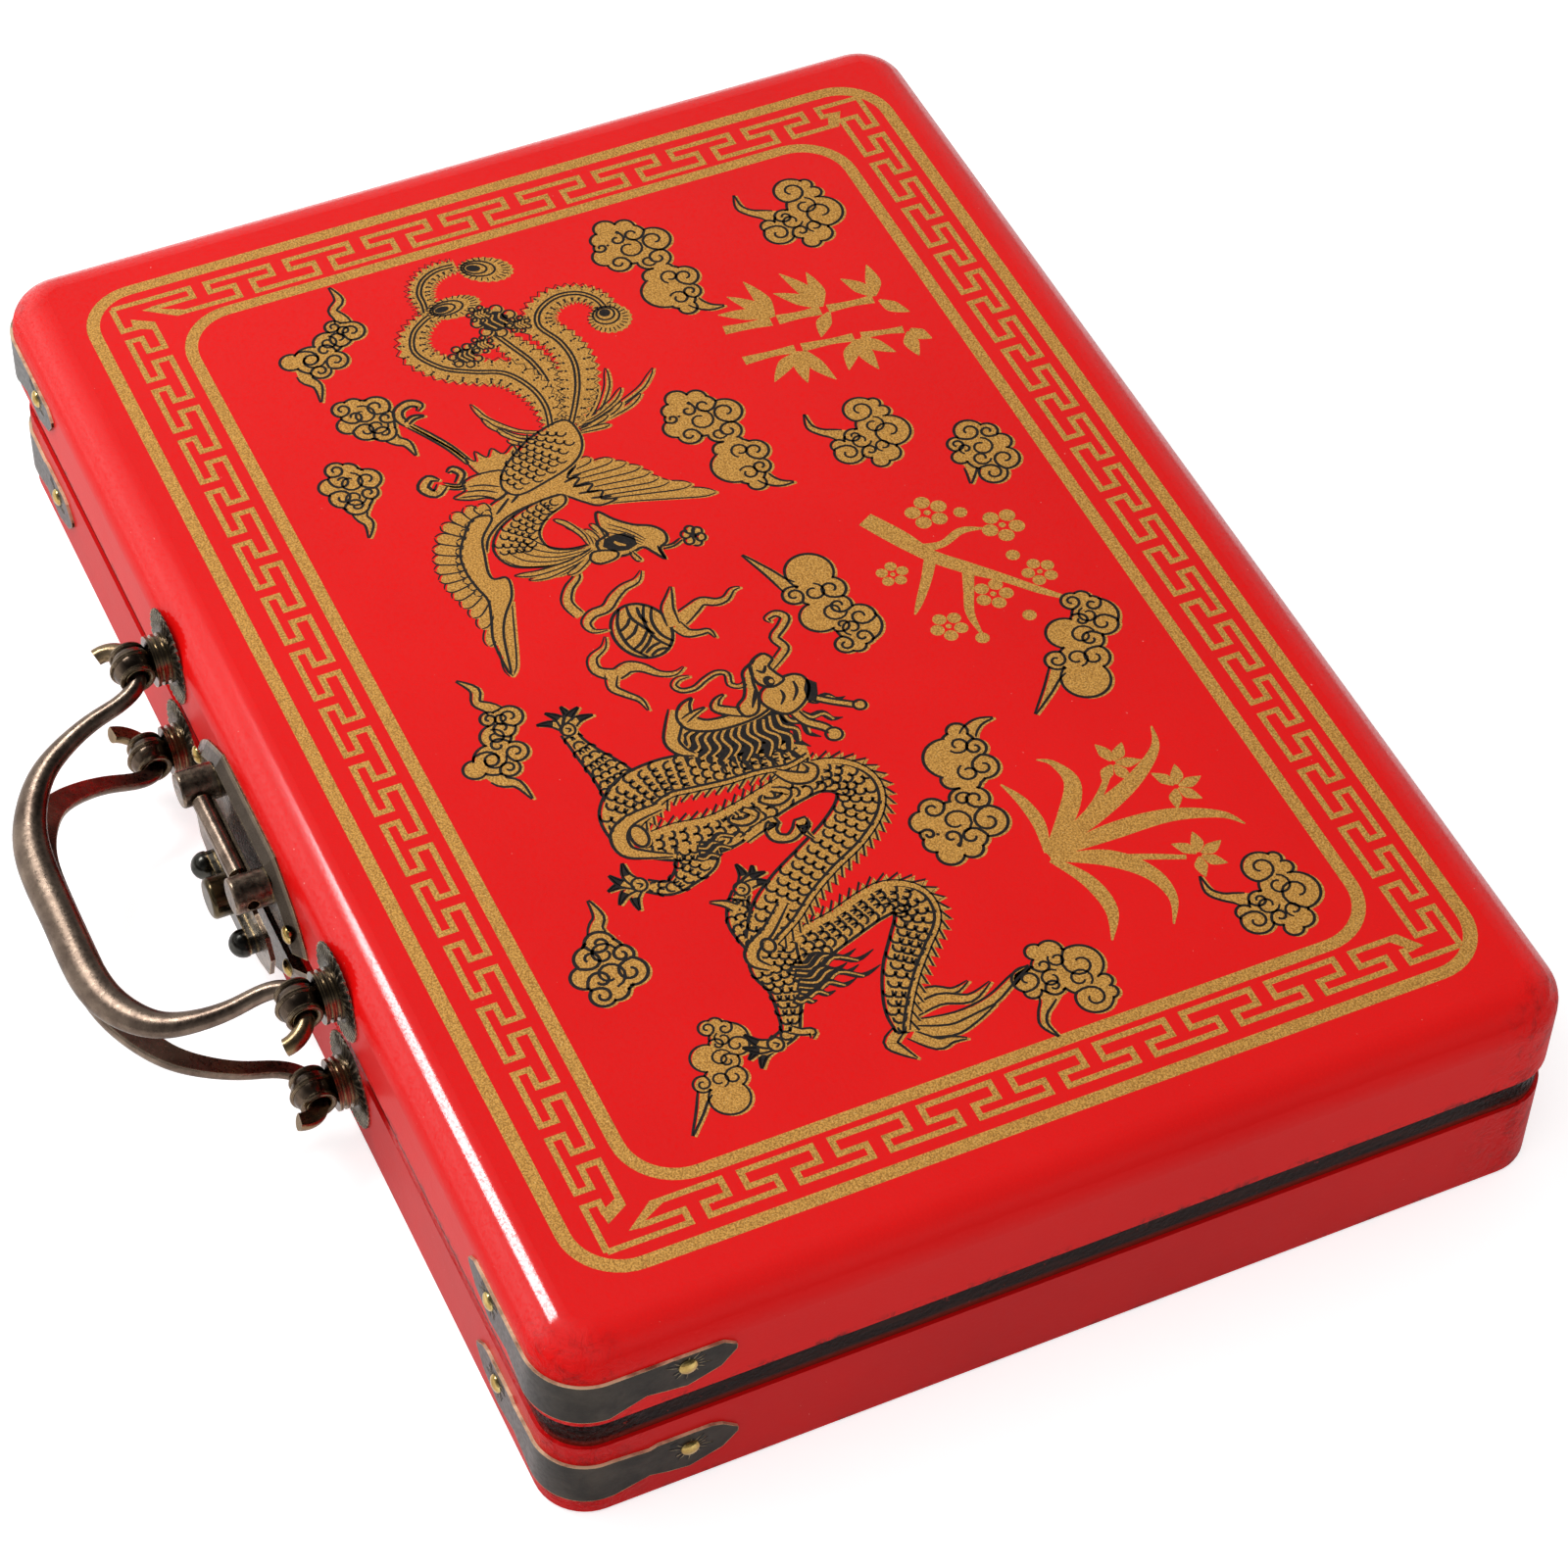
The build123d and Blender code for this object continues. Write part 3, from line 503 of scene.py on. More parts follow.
flock = (
    [(-8, -32, 15, 180, 300), (-22, -15, 10, 190, -360), (-3, -14, 15, 200, 450), (10, 8, 13, 0, -420),
     (30, 2, 14, 200, 440), (18, 30, 18, 220, 490), (40, 24, 12, 230, 360), (14, 50, 13, 30, 150)],
    [(0, 0, 17), (20, 26, 22), (-12, -24, 13)],
    [[(-8, -24, 14), (-30, -28, 8), (-48, -24, 5), (-62, -37, 5), (-86, -34, 0.8)],
     [(28, 38, 15), (46, 44, 8), (62, 36, 5), (88, 42, 0.8)]],
)
puff = (
    [(-16, -15, 16, 180, 460), (-36, 0, 12, 150, 200), (-42, 12, 12, 0, -360), (-24, 12, 15, 20, -420),
     (-20, 27, 13, 180, -180), (1, 20, 15, 200, 440), (4, -9, 11, 190, 360), (18, 10, 14, 250, 330)],
    [(-18, 4, 24), (6, 8, 20)],
    [[(14, 8, 14), (36, 12, 7), (50, 8, 5), (70, 16, 0.8)]],
)
clouds = Print()
for shape, x, y, mirror, turn, size in (
    (mushroom, 303, 290, 1, 0, 1), (mushroom, 667, 373, 1, 0, 0.93), (mushroom, 1444, 280, 1, -4, 0.95),
    (mushroom, 1459, 526, -1, -12, 0.92), (wave, 320, 480, 1, 0, 1), (wave, 613, 522, 1, 2, 0.97),
    (wave, 1190, 508, -1, 16, 1.04), (swallow, 882, 524, 1, 0, 1), (swallow, 1058, 300, -1, 24, 1.0),
    (posy, 743, 258, 1, 0, 1), (flock, 292, 872, 1, 0, 1), (puff, 432, 866, 1, -28, 1.0),
    (puff, 530, 926, 1, 0, 1), (flock, 925, 926, 1, -27, 0.98), (puff, 1250, 932, -1, 18, 1.12),
    (swallow, 1424, 890, -1, 14, 0.78),
):
    cloud(clouds, x, y, *shape, mirror=mirror, turn=turn, size=size)
clouds.lay("cloud_print")
# --- printed flaming pearl ---
# The round pearl that the two animals play with, banded and wrapped in tongues of flame.
pearl = Print()
pearl.form([(846 + 41 * cos(pi * i / 8), 723 + 32 * sin(pi * i / 8)) for i in range(16)], 2)
for points in (
    [(812, 706), (830, 714), (846, 716), (864, 713), (880, 703)], [(818, 699), (832, 706), (847, 708), (862, 705), (874, 697)],
    [(807, 733), (826, 743), (846, 746), (866, 743), (884, 732)], [(807, 724), (824, 726), (842, 719), (856, 712)],
    [(812, 714), (826, 716), (838, 713)], [(856, 716), (866, 724), (876, 738)], [(848, 717), (862, 730), (868, 742)],
    [(836, 724), (846, 732), (852, 744)], [(824, 728), (832, 734), (838, 744)], [(870, 712), (872, 722), (878, 732)],
    [(880, 708), (879, 718), (884, 728)],
):
    pearl.line(points, 2.1)
for points in (
    [(851, 690, 10), (846, 676, 10), (838, 660, 8), (832, 646, 6), (839, 632, 5), (838, 620, 4), (829, 609, 3), (829, 599, 0.8)],
    [(852, 688, 7), (828, 685, 7), (812, 676, 4), (798, 668, 0.8)],
    [(852, 686, 7), (868, 680, 6), (873, 668, 4), (875, 657, 3), (887, 654, 0.8)],
    [(728, 753, 0.8), (744, 756, 4), (757, 771, 5), (776, 781, 6), (798, 776, 6)],
    [(763, 688, 0.8), (775, 699, 4), (779, 716, 5), (788, 731, 6), (800, 745, 6), (802, 762, 6), (812, 774, 5), (826, 771, 3), (830, 756, 0.8)],
    [(912, 703, 0.8), (917, 716, 3), (911, 731, 4), (896, 744, 6), (889, 758, 8), (893, 775, 8), (880, 791, 6), (862, 788, 5), (852, 771, 3), (838, 763, 0.8)],
    [(893, 779, 7), (910, 785, 5), (924, 776, 4), (938, 765, 3), (955, 763, 0.8)],
):
    pearl.ribbon(points)
pearl.lay("pearl_print")

# --- printed phoenix ---
# A bird in flight to the right: long frilled tail plumes with eyes, thin tail grasses, scaled body and
# neck, two spread wings, and a crested head with a flower over it.


def strands(figure, first, last, count, half=1.3):
    """Pen lines spread evenly from one line to another."""
    first, last = bend(first), bend(last)
    for i in range(count):
        t = i / max(1, count - 1)
        figure.line([(a + (c - a) * t, b + (d - b) * t) for (a, b), (c, d) in zip(first, last)], half, 0.6, smooth=False)


def scales(figure, path, pitch=9.5, edge=2, half=1.35):
    """Rows of overlapping scales along a body given by x, y and half width, open towards its start."""
    line, places, gone = bend(path, steps=10), [], 0
    for one, two in zip(line, line[1:]):
        gone += hypot(two[0] - one[0], two[1] - one[1])
        if gone > pitch * 0.8:
            places.append((*one, atan2(two[1] - one[1], two[0] - one[0])))
            gone = 0
    for row, (x, y, width, way) in enumerate(places):
        across = max(1, round(2 * (width - edge) / pitch))
        for i in range(across + row % 2):
            off = (i - (across + row % 2 - 1) / 2) * 2 * (width - edge) / (across + 0.5)
            arc = []
            for turn in (-95, -58, -20, 20, 58, 95):
                along = pitch * 0.60 * cos(radians(turn))
                side = off + pitch * 0.56 * sin(radians(turn))
                arc.append((x + along * cos(way) - side * sin(way), y + along * sin(way) + side * cos(way)))
            figure.line(arc, half, 0.3, smooth=False)


def feather(figure, root, tip, half, curve=0.0, quill=False):
    """A long feather with a round end, from its root to its tip."""
    dx, dy = tip[0] - root[0], tip[1] - root[1]
    path = []
    for share, width in ((0, 0.45), (0.3, 0.8), (0.7, 1), (0.9, 0.8), (1, 0.12)):
        off = curve * 4 * share * (1 - share)
        path.append((root[0] + dx * share - dy * off, root[1] + dy * share + dx * off, width * half))
    figure.ribbon(path, 1.1)
    if quill:
        figure.line([(x, y) for x, y, _ in path[:3]], 1.0)


def plume(figure, path, frill=4.5, spots=True):
    """A tail plume: frilled gold web, a double quill down its middle, spots on both sides."""
    line = bend(path, steps=7)
    for turn, side in enumerate(edges_of(line)):
        frilled = []
        for i, ((x, y), (cx, cy, half)) in enumerate(zip(side, line)):
            out = (1 + (frill if i % 2 else -1.5) / max(half, 1))
            frilled.append((cx + (x - cx) * out, cy + (y - cy) * out))
        middle = [(x, y) for x, y, _ in line]
        figure.area(frilled + middle[::-1])
        figure.line(frilled, 0.75, 0.2, smooth=False)
        for i in range(3, len(side) - 2, 3):
            x, y = side[i]
            cx, cy, half = line[i]
            if spots:
                figure.line([(cx + (x - cx) * 0.52, cy + (y - cy) * 0.52), (cx + (x - cx) * 0.66 + 1, cy + (y - cy) * 0.66)], 1.7, 0)
            figure.line([(x, y), (cx + (x - cx) * 0.72, cy + (y - cy) * 0.72)], 1.3)
    for off in (-2.4, 2.4):
        figure.line(edges_of([(x, y, off) for x, y, _ in line])[0], 1.5, 0.2, smooth=False)


def plume_eye(figure, x, y, wide, high, lean):
    """The eye at the end of a plume: fringed oval, inner rings and a black heart."""
    c, s = cos(radians(lean)), sin(radians(lean))

    def ring(share, count=24, ripple=0.0, down=0.0):
        points = []
        for i in range(count):
            reach = share * (1 + (ripple if i % 2 else -ripple))
            across, up = reach * wide * cos(2 * pi * i / count), reach * high * sin(2 * pi * i / count) + down * high
            points.append((x + across * c - up * s, y + across * s + up * c))
        return points

    figure.area(ring(1, 40, 0.04))
    for inner, outer in zip(ring(0.7), ring(0.97)):
        figure.line([inner, outer], 1.2, 0.3, smooth=False)
    for share, down in ((0.62, 0.2), (0.42, 0.3)):
        rim = ring(share, 20, 0, down)
        figure.line(rim + rim[:1], 1.4, 0, smooth=False)
    figure.area(ring(0.27, 16, 0, 0.38), 1)


phoenix = Print()
for root, tip, curve in (
    ((540, 668), (455, 598), 0.12), ((520, 664), (476, 548), 0.14), ((526, 664), (491, 594), 0.10),
    ((530, 664), (509, 577), 0.10), ((533, 664), (513, 602), 0.08), ((536, 664), (526, 625), 0.05),
    ((539, 666), (541, 629), 0.0), ((528, 668), (470, 618), 0.12),
    ((524, 700), (449, 761), -0.16), ((528, 712), (474, 758), -0.14), ((530, 722), (498, 748), -0.12),
    ((532, 730), (518, 744), -0.1),
):
    feather(phoenix, root, tip, 3.2, curve)
plume(phoenix, [(296, 752, 8), (276, 748, 11), (256, 746, 13), (238, 734, 13), (228, 714, 12), (228, 692, 9)])
plume(phoenix, [(522, 676, 8), (490, 676, 13), (455, 668, 16), (415, 670, 17), (380, 682, 15), (348, 694, 8)], 4)
plume(phoenix, [(520, 692, 8), (485, 684, 14), (450, 688, 18), (418, 706, 20), (402, 738, 18), (382, 768, 17), (348, 787, 17),
                (318, 778, 15), (300, 756, 11), (294, 738, 8)])
plume(phoenix, [(522, 668, 6), (496, 652, 14), (465, 636, 20), (430, 626, 21), (395, 628, 19), (362, 640, 18), (338, 630, 17),
                (324, 604, 15), (328, 578, 13), (346, 562, 12), (372, 558, 10)])
plume_eye(phoenix, 247, 662, 21, 32, 28)
plume_eye(phoenix, 380, 562, 25, 24, 90)
plume_eye(phoenix, 292, 720, 18, 32, 0)
for x, y, radius in ((334, 684, 17), (374, 736, 12), (364, 712, 8), (350, 660, 8), (316, 696, 8)):
    for i in range(7):
        a, b = x + (radius + 3) * cos(0.9 * i), y + (radius + 3) * sin(0.9 * i)
        phoenix.form([(a + radius * 0.42 * cos(pi * k / 4), b + radius * 0.42 * sin(pi * k / 4)) for k in range(8)], 1.3)
    phoenix.area([(x + radius * cos(pi * i / 9), y + radius * sin(pi * i / 9) * (1.1 if i % 2 else 0.88)) for i in range(18)], 1)
    for spread in (-0.5, 0, 0.5):
        path = [(x + radius * (t - 0.5) * 1.5, y + radius * (spread + 0.25 * sin(5 * t))) for t in (0, 0.3, 0.6, 0.9)]
        phoenix.strip([(px, py, 1.1) for px, py in bend(path)], 0)
# legs and claws
for points, half in (
    ([(536, 797), (505, 808), (478, 822), (452, 838)], 4), ([(566, 800), (566, 822), (556, 838)], 4),
):
    phoenix.ribbon([(x, y, half) for x, y in points], 1.6)
    for i in range(3):
        phoenix.line([points[0], points[1], points[-1]], 1.6)
for points in (
    [(452, 838, 4), (438, 843, 5), (426, 838, 5), (421, 824, 5), (428, 814, 4), (436, 820, 1)],
    [(450, 838, 3), (444, 828, 3), (446, 815, 1)], [(556, 838, 6), (566, 850, 5), (552, 859, 6), (541, 848, 5), (548, 838, 1)],
    [(560, 822, 3), (548, 812, 4), (537, 818, 4), (540, 826, 1)],
):
    phoenix.ribbon(points, 2)
# thighs, with ragged down
phoenix.form([(528, 742), (548, 744), (566, 762), (566, 786), (548, 797), (526, 799), (536, 790), (521, 785), (535, 776),
              (524, 766), (537, 757)], 1.2)
phoenix.form([(562, 766), (584, 770), (602, 786), (594, 800), (590, 818), (580, 834), (574, 818), (562, 816), (556, 798)], 1.4)
strands(phoenix, [(584, 780), (574, 796), (570, 812)], [(598, 792), (588, 806), (582, 828)], 3)
# upper wing, from its long outer feathers to the short ones over the body
tips = [(686, 563), (664, 583), (650, 604), (640, 612), (628, 617), (616, 624), (604, 636), (593, 648), (582, 670)]
roots = [(650, 684), (642, 690), (636, 694), (628, 698), (620, 702), (612, 706), (604, 708), (597, 708), (590, 704)]
for i, (root, tip) in enumerate(zip(roots, tips)):
    feather(phoenix, root, tip, 8.2 - 0.25 * i, -0.03)
phoenix.form([(584, 690), (600, 706), (606, 694), (616, 704), (620, 684), (630, 694), (634, 678), (645, 684), (652, 668),
              (654, 690), (640, 706), (624, 722), (622, 750), (630, 790), (650, 820), (672, 834), (640, 836), (612, 812),
              (596, 776), (578, 722)], 1.6)
for root, tip in (((596, 704), (588, 694)), ((606, 712), (600, 690)), ((616, 706), (616, 686)), ((628, 704), (632, 682)),
                  ((640, 694), (646, 672)), ((600, 736), (588, 716)), ((606, 756), (592, 736)), ((612, 778), (596, 756)),
                  ((622, 800), (604, 778)), ((636, 820), (612, 800)), ((590, 722), (580, 704))):
    phoenix.line([root, tip], 1.8)
# lower wing
tips = [(852, 878), (802, 883), (775, 881), (756, 884), (738, 888), (722, 892), (706, 895), (690, 896), (674, 895), (658, 891),
        (643, 885), (628, 876), (613, 863), (601, 846), (597, 828), (600, 814)]
roots = [(748, 838), (742, 842), (734, 846), (726, 848), (718, 850), (710, 852), (702, 853), (694, 852), (686, 851), (678, 849),
         (668, 845), (656, 840), (646, 834), (638, 827), (632, 818), (622, 808)]
for root, tip in zip(roots, tips):
    feather(phoenix, root, tip, 8.4, 0.02)
for root, tip in zip(roots[4:], tips[4:]):
    x, y = root[0] + (tip[0] - root[0]) * 0.45, root[1] + (tip[1] - root[1]) * 0.45
    feather(phoenix, root, (x, y), 5.4, 0.02)
phoenix.form([(624, 806), (650, 828), (676, 836), (700, 842), (712, 840), (714, 828), (724, 826), (745, 833), (768, 850),
              (796, 863), (850, 877), (800, 876), (768, 866), (740, 858), (716, 862), (690, 864), (664, 860), (640, 846),
              (618, 826)], 1.6)
# scaled body, and neck with its hackles
phoenix.form([(514, 674), (540, 666), (566, 674), (584, 694), (596, 728), (604, 764), (590, 778), (568, 772), (546, 750), (524, 716)], 1.6)
scales(phoenix, [(520, 690, 14), (540, 702, 28), (558, 724, 28), (574, 750, 22), (584, 770, 10)], 11)
phoenix.form([(622, 722), (636, 724), (648, 750), (668, 768), (692, 766), (704, 744), (706, 716), (726, 716), (722, 756), (714, 790),
              (700, 816), (672, 824), (646, 808), (630, 780), (622, 750)], 1.6)
scales(phoenix, [(628, 728, 7), (636, 752, 12), (650, 778, 18), (668, 796, 22), (686, 802, 20)], 10)
strands(phoenix, [(704, 728), (700, 752), (684, 772), (664, 782)], [(720, 732), (718, 774), (706, 806), (688, 820)], 5, 1.0)
for tip in ((668, 696), (676, 712), (682, 722), (668, 738), (654, 746)):
    feather(phoenix, (706, 700 + (tip[1] - 696) * 0.5), tip, 3.4, 0.12)
for tip in ((732, 782), (728, 806), (738, 764), (716, 818)):
    feather(phoenix, (712, 724), tip, 3.6, -0.1)
# head, crest, beak, wattles and the flower over it
phoenix.form([(662, 697), (680, 684), (696, 668), (706, 650), (720, 641), (734, 644), (741, 655), (758, 656), (744, 664), (732, 672),
              (736, 690), (732, 706), (722, 716), (706, 716), (698, 700), (682, 704)], 1.8)
phoenix.line([(736, 656), (746, 657), (758, 656)], 1.4)
phoenix.form([(728, 700), (736, 706), (737, 724), (728, 732), (718, 726), (720, 712)], 1.6)
phoenix.area([(704, 682), (714, 674), (726, 676), (730, 688), (726, 704), (714, 712), (704, 706), (702, 694)], 1)
phoenix.strip([(710, 700, 1.5), (716, 696, 2.2), (720, 690, 1)], 0)
strands(phoenix, [(722, 664), (702, 676), (684, 694)], [(728, 672), (712, 686), (700, 704)], 4, 0.9)
feather(phoenix, (732, 686), (750, 682), 3, 0.1)
phoenix.ribbon([(741, 652, 2), (742, 640, 2), (737, 628, 2)])
for turn in range(6):
    x, y = 738 + 10 * cos(radians(60 * turn)), 614 + 8 * sin(radians(60 * turn))
    phoenix.form([(x + 6 * cos(pi * i / 4), y + 5.4 * sin(pi * i / 4)) for i in range(8)], 1.5)
phoenix.area([(738 + 4 * cos(pi * i / 4), 614 + 4 * sin(pi * i / 4)) for i in range(8)], 1)
phoenix.lay("phoenix_print")
# --- printed dragon ---
# A scaled dragon in three coils with a saw-toothed fin, four clawed legs, a flame tail, and a horned and
# whiskered head that looks back at the pearl.


def body(figure, path, pitch=12.5, fin=1):
    """One coil: gold with scales, and a toothed fin on a smooth strip along one of its sides."""
    line = bend(path, steps=8)
    left, right = edges_of(line)
    figure.area(left + right[::-1])
    scales(figure, path, pitch, 5, 1.75)
    back, belly = (right, left) if fin > 0 else (left, right)
    figure.line(belly, 1.9, 0.1, smooth=False)
    inner = []
    for (x, y), (cx, cy, half) in zip(back, line):
        share = max(0.1, (half - 7) / half)
        inner.append((cx + (x - cx) * share, cy + (y - cy) * share))
    figure.area(inner + back[::-1])
    figure.line(inner, 1.7, 0.1, smooth=False)
    walk, teeth, gone, turn = [], [], 0, pi / 2
    for one, two in zip(back, back[1:]):
        length = hypot(two[0] - one[0], two[1] - one[1])
        while gone < length:
            t = gone / length if length else 0
            walk.append((one[0] + (two[0] - one[0]) * t, one[1] + (two[1] - one[1]) * t, atan2(two[1] - one[1], two[0] - one[0])))
            gone += 6.2
        gone -= length
    for i, (x, y, way) in enumerate(walk):
        out = 11 if i % 2 else -0.5
        slant = way - fin * (turn - 0.5)
        teeth.append((x + out * cos(slant), y + out * sin(slant)))
    figure.area(teeth + inner[::-1])
    figure.line(teeth, 1.7, 0.1, smooth=False)
    figure.line(back, 1.0, 0.1, smooth=False)


def claw(figure, path):
    figure.ribbon(path, 1.6)


dragon = Print()
# the legs lie over the ends of the coils, and the neck over everything behind it


def paw(figure, x, y, way, reach, toes=4, spread=1.5):
    """A clawed foot: curved black-tipped toes fanned out from its palm."""
    for i in range(toes):
        turn = way + spread * (i / (toes - 1) - 0.5)
        c, s = cos(turn), sin(turn)
        bow = 5 if i < toes / 2 else -5
        toe = [(x, y, 6), (x + 0.5 * reach * c - bow * s, y + 0.5 * reach * s + bow * c, 4.5), (x + reach * c, y + reach * s, 1)]
        figure.ribbon(toe, 1.5)
        nail = bend(toe)[-5:]
        figure.strip([(a, b, half * 0.9) for a, b, half in nail], 1)
    figure.form([(x + 9 * cos(pi * i / 5), y + 8 * sin(pi * i / 5)) for i in range(10)], 1.5)
    figure.line([(x - 3, y + 2), (x + 1, y - 3), (x + 4, y + 1)], 1.3)


def leg(figure, path, pitch=11):
    line = bend(path, steps=8)
    left, right = edges_of(line)
    figure.area(left + right[::-1])
    scales(figure, path, pitch, 2, 1.6)
    figure.line(left, 1.8, 0.1, smooth=False)
    figure.line(right, 1.8, 0.1, smooth=False)


for path in (
    [(1425, 690, 6), (1417, 656, 6), (1426, 634, 4), (1420, 614, 0.8)], [(1437, 692, 6), (1430, 652, 7), (1441, 622, 5), (1430, 594, 0.8)],
    [(1449, 692, 7), (1459, 645, 8), (1452, 604, 6), (1434, 568, 4), (1427, 548, 0.8)],
    [(1456, 694, 7), (1470, 658, 7), (1467, 632, 5), (1458, 602, 0.8)], [(1458, 698, 6), (1480, 678, 7), (1481, 662, 4), (1486, 647, 0.8)],
    [(1448, 704, 6), (1460, 720, 7), (1474, 714, 5), (1489, 704, 0.8)],
):
    dragon.ribbon(path, 1.5)
body(dragon, [(1318, 800, 10), (1322, 765, 27), (1312, 735, 24), (1303, 700, 21), (1292, 665, 21), (1289, 640, 22), (1302, 622, 23),
              (1325, 624, 24), (1350, 644, 22), (1378, 667, 20), (1405, 684, 17), (1430, 696, 13), (1452, 702, 7)])
leg(dragon, [(1296, 770, 20), (1322, 784, 26), (1352, 786, 19), (1382, 796, 12), (1406, 806, 9), (1414, 822, 8)])
paw(dragon, 1416, 826, 1.6, 34)
dragon.ribbon([(1404, 806, 5), (1412, 796, 4), (1416, 786, 4), (1424, 790, 1)], 1.4)
leg(dragon, [(1290, 778, 26), (1262, 790, 17), (1240, 788, 11), (1222, 776, 9)])
paw(dragon, 1219, 774, -2.15, 34)
dragon.ribbon([(1240, 790, 5), (1230, 798, 4), (1222, 812, 1)], 1.5)
body(dragon, [(1124, 850, 12), (1134, 812, 25), (1140, 768, 25), (1132, 730, 22), (1122, 698, 20), (1114, 666, 20), (1110, 640, 22),
              (1119, 616, 24), (1140, 604, 25), (1166, 614, 26), (1192, 645, 26), (1214, 685, 25), (1236, 722, 26), (1262, 755, 26),
              (1292, 786, 16)])
leg(dragon, [(1142, 796, 18), (1164, 800, 22), (1182, 822, 13), (1188, 842, 9), (1176, 862, 8)])
paw(dragon, 1172, 868, 1.7, 34, 5, 2.6)
leg(dragon, [(1076, 830, 26), (1050, 830, 25), (1018, 836, 19), (990, 845, 13), (966, 851, 9), (950, 853, 9)])
paw(dragon, 946, 852, 3.3, 34, 5, 2.3)
body(dragon, [(1074, 634, 10), (1070, 658, 20), (1063, 690, 22), (1058, 725, 26), (1053, 760, 27), (1050, 790, 27), (1058, 820, 29),
              (1080, 846, 26), (1108, 860, 12)])
for path in (
    [(1160, 745, 5), (1152, 725, 6), (1148, 706, 6), (1158, 713, 6), (1170, 712, 6), (1176, 700, 5), (1170, 688, 6), (1162, 679, 8),
     (1175, 682, 3), (1188, 677, 1)],
    [(1083, 806, 5), (1088, 842, 7), (1103, 861, 9), (1125, 862, 8), (1138, 845, 5), (1150, 820, 2)],
    [(1253, 743, 5), (1280, 772, 6), (1296, 797, 7), (1312, 802, 6), (1326, 790, 3)],
    [(1086, 676, 3), (1102, 662, 8), (1108, 646, 7), (1098, 637, 5), (1087, 644, 1)],
    [(1108, 690, 3), (1118, 676, 5), (1126, 690, 5), (1118, 704, 4), (1112, 700, 1)],
    [(1120, 730, 3), (1132, 720, 5), (1138, 734, 5), (1130, 746, 3), (1124, 740, 1)],
):
    dragon.ribbon(path, 1.8)
for x, y, width, height in ((1112, 842, 15, 9), (1298, 780, 9, 7)):
    dragon.form([(x + width * cos(pi * i / 6), y + height * sin(pi * i / 6)) for i in range(12)], 1.8)


def fur(figure, tips, roots, dark=3.4, bright=1.5):
    """Locks of hair: a black lock with a wavy gold strand on it for each pair of root and tip."""
    for root, tip in zip(roots, tips):
        dx, dy = tip[0] - root[0], tip[1] - root[1]
        path = []
        for share, wave, width in ((0, 0, 1), (0.25, 0.09, 1.1), (0.5, -0.06, 1), (0.75, 0.08, 0.8), (1, 0, 0.15)):
            path.append((root[0] + dx * share - dy * wave, root[1] + dy * share + dx * wave, width * dark))
        figure.strip(bend(path), 1)
        figure.strip(bend([(x - 0.5, y + 0.7, half / dark * bright * 0.62) for x, y, half in path[:-1]]), 0)


fur(dragon, [(1331, 716), (1337, 700), (1345, 684), (1350, 716), (1357, 706), (1366, 686), (1372, 716), (1378, 742), (1382, 764)],
    [(1330, 768), (1334, 772), (1340, 770), (1346, 774), (1352, 772), (1358, 776), (1364, 776), (1368, 780), (1372, 786)], 4.2, 1.8)
fur(dragon, [(1146, 742), (1152, 762), (1162, 752), (1168, 772)], [(1146, 790), (1150, 794), (1156, 794), (1162, 800)], 4.0, 1.7)
# mane
mane_tips = [(1046, 577), (1020, 562), (1062, 610), (1070, 626), (1082, 640), (1072, 654), (1082, 668), (1070, 682), (1078, 696),
             (1064, 708), (1068, 722), (1054, 732), (1052, 746), (1040, 756), (1030, 764), (1016, 762)]
mane_roots = [(1022, 616), (1006, 602), (1012, 634), (1014, 642), (1012, 650), (1014, 658), (1010, 666), (1012, 674), (1010, 682),
              (1010, 690), (1008, 698), (1008, 706), (1006, 714), (1004, 722), (1000, 730), (996, 738)]
dragon.area([(1000, 640), (1030, 634), (1052, 640), (1062, 668), (1052, 700), (1040, 730), (1020, 750), (1000, 744), (1006, 700)], 1)
fur(dragon, mane_tips, mane_roots, 4.6, 2.2)
# antlers, ears and whiskers
for path in (
    [(1003, 600, 4), (1018, 582, 4), (1028, 568, 4), (1036, 556, 4)], [(1018, 622, 5), (1036, 616, 5), (1050, 602, 5), (1060, 596, 4)],
):
    dragon.ribbon(path, 1.7)
for x, y, radius in ((1037, 553, 7), (1064, 596, 9)):
    dragon.form([(x + radius * cos(pi * i / 5), y + radius * sin(pi * i / 5)) for i in range(10)], 1.6)
dragon.ribbon([(952, 620, 4), (939, 602, 5), (929, 592, 5), (912, 596, 5), (900, 582, 5), (889, 573, 5), (880, 580, 4), (883, 592, 3), (890, 590, 1)], 1.6)
dragon.ribbon([(955, 646, 3), (962, 658, 3), (955, 668, 3), (940, 665, 3), (934, 675, 3), (938, 690, 3), (945, 705, 3),
               (943, 719, 3), (933, 724, 3), (926, 716, 3), (927, 703, 1)], 1.5)
# jaws, tongue, cheek and the dome of the head
dragon.ribbon([(966, 736, 8), (985, 747, 9), (1005, 758, 8), (1022, 754, 6), (1032, 743, 2)], 1.8)
dragon.form([(1000, 640), (1010, 660), (1012, 690), (1008, 716), (996, 736), (978, 740), (962, 730), (957, 714), (966, 720), (980, 722),
             (992, 712), (995, 690), (992, 664)], 1.8)
dragon.ribbon([(1000, 668, 6), (990, 685, 6), (980, 696, 5), (970, 690, 3), (966, 680, 1)], 1.6)
dragon.ribbon([(984, 734, 4), (978, 720, 3), (975, 706, 0.8)], 1.4)
dragon.form([(935, 629), (948, 638), (962, 644), (986, 648), (1004, 658), (1004, 672), (988, 674), (978, 662), (962, 654), (944, 648)], 1.8)
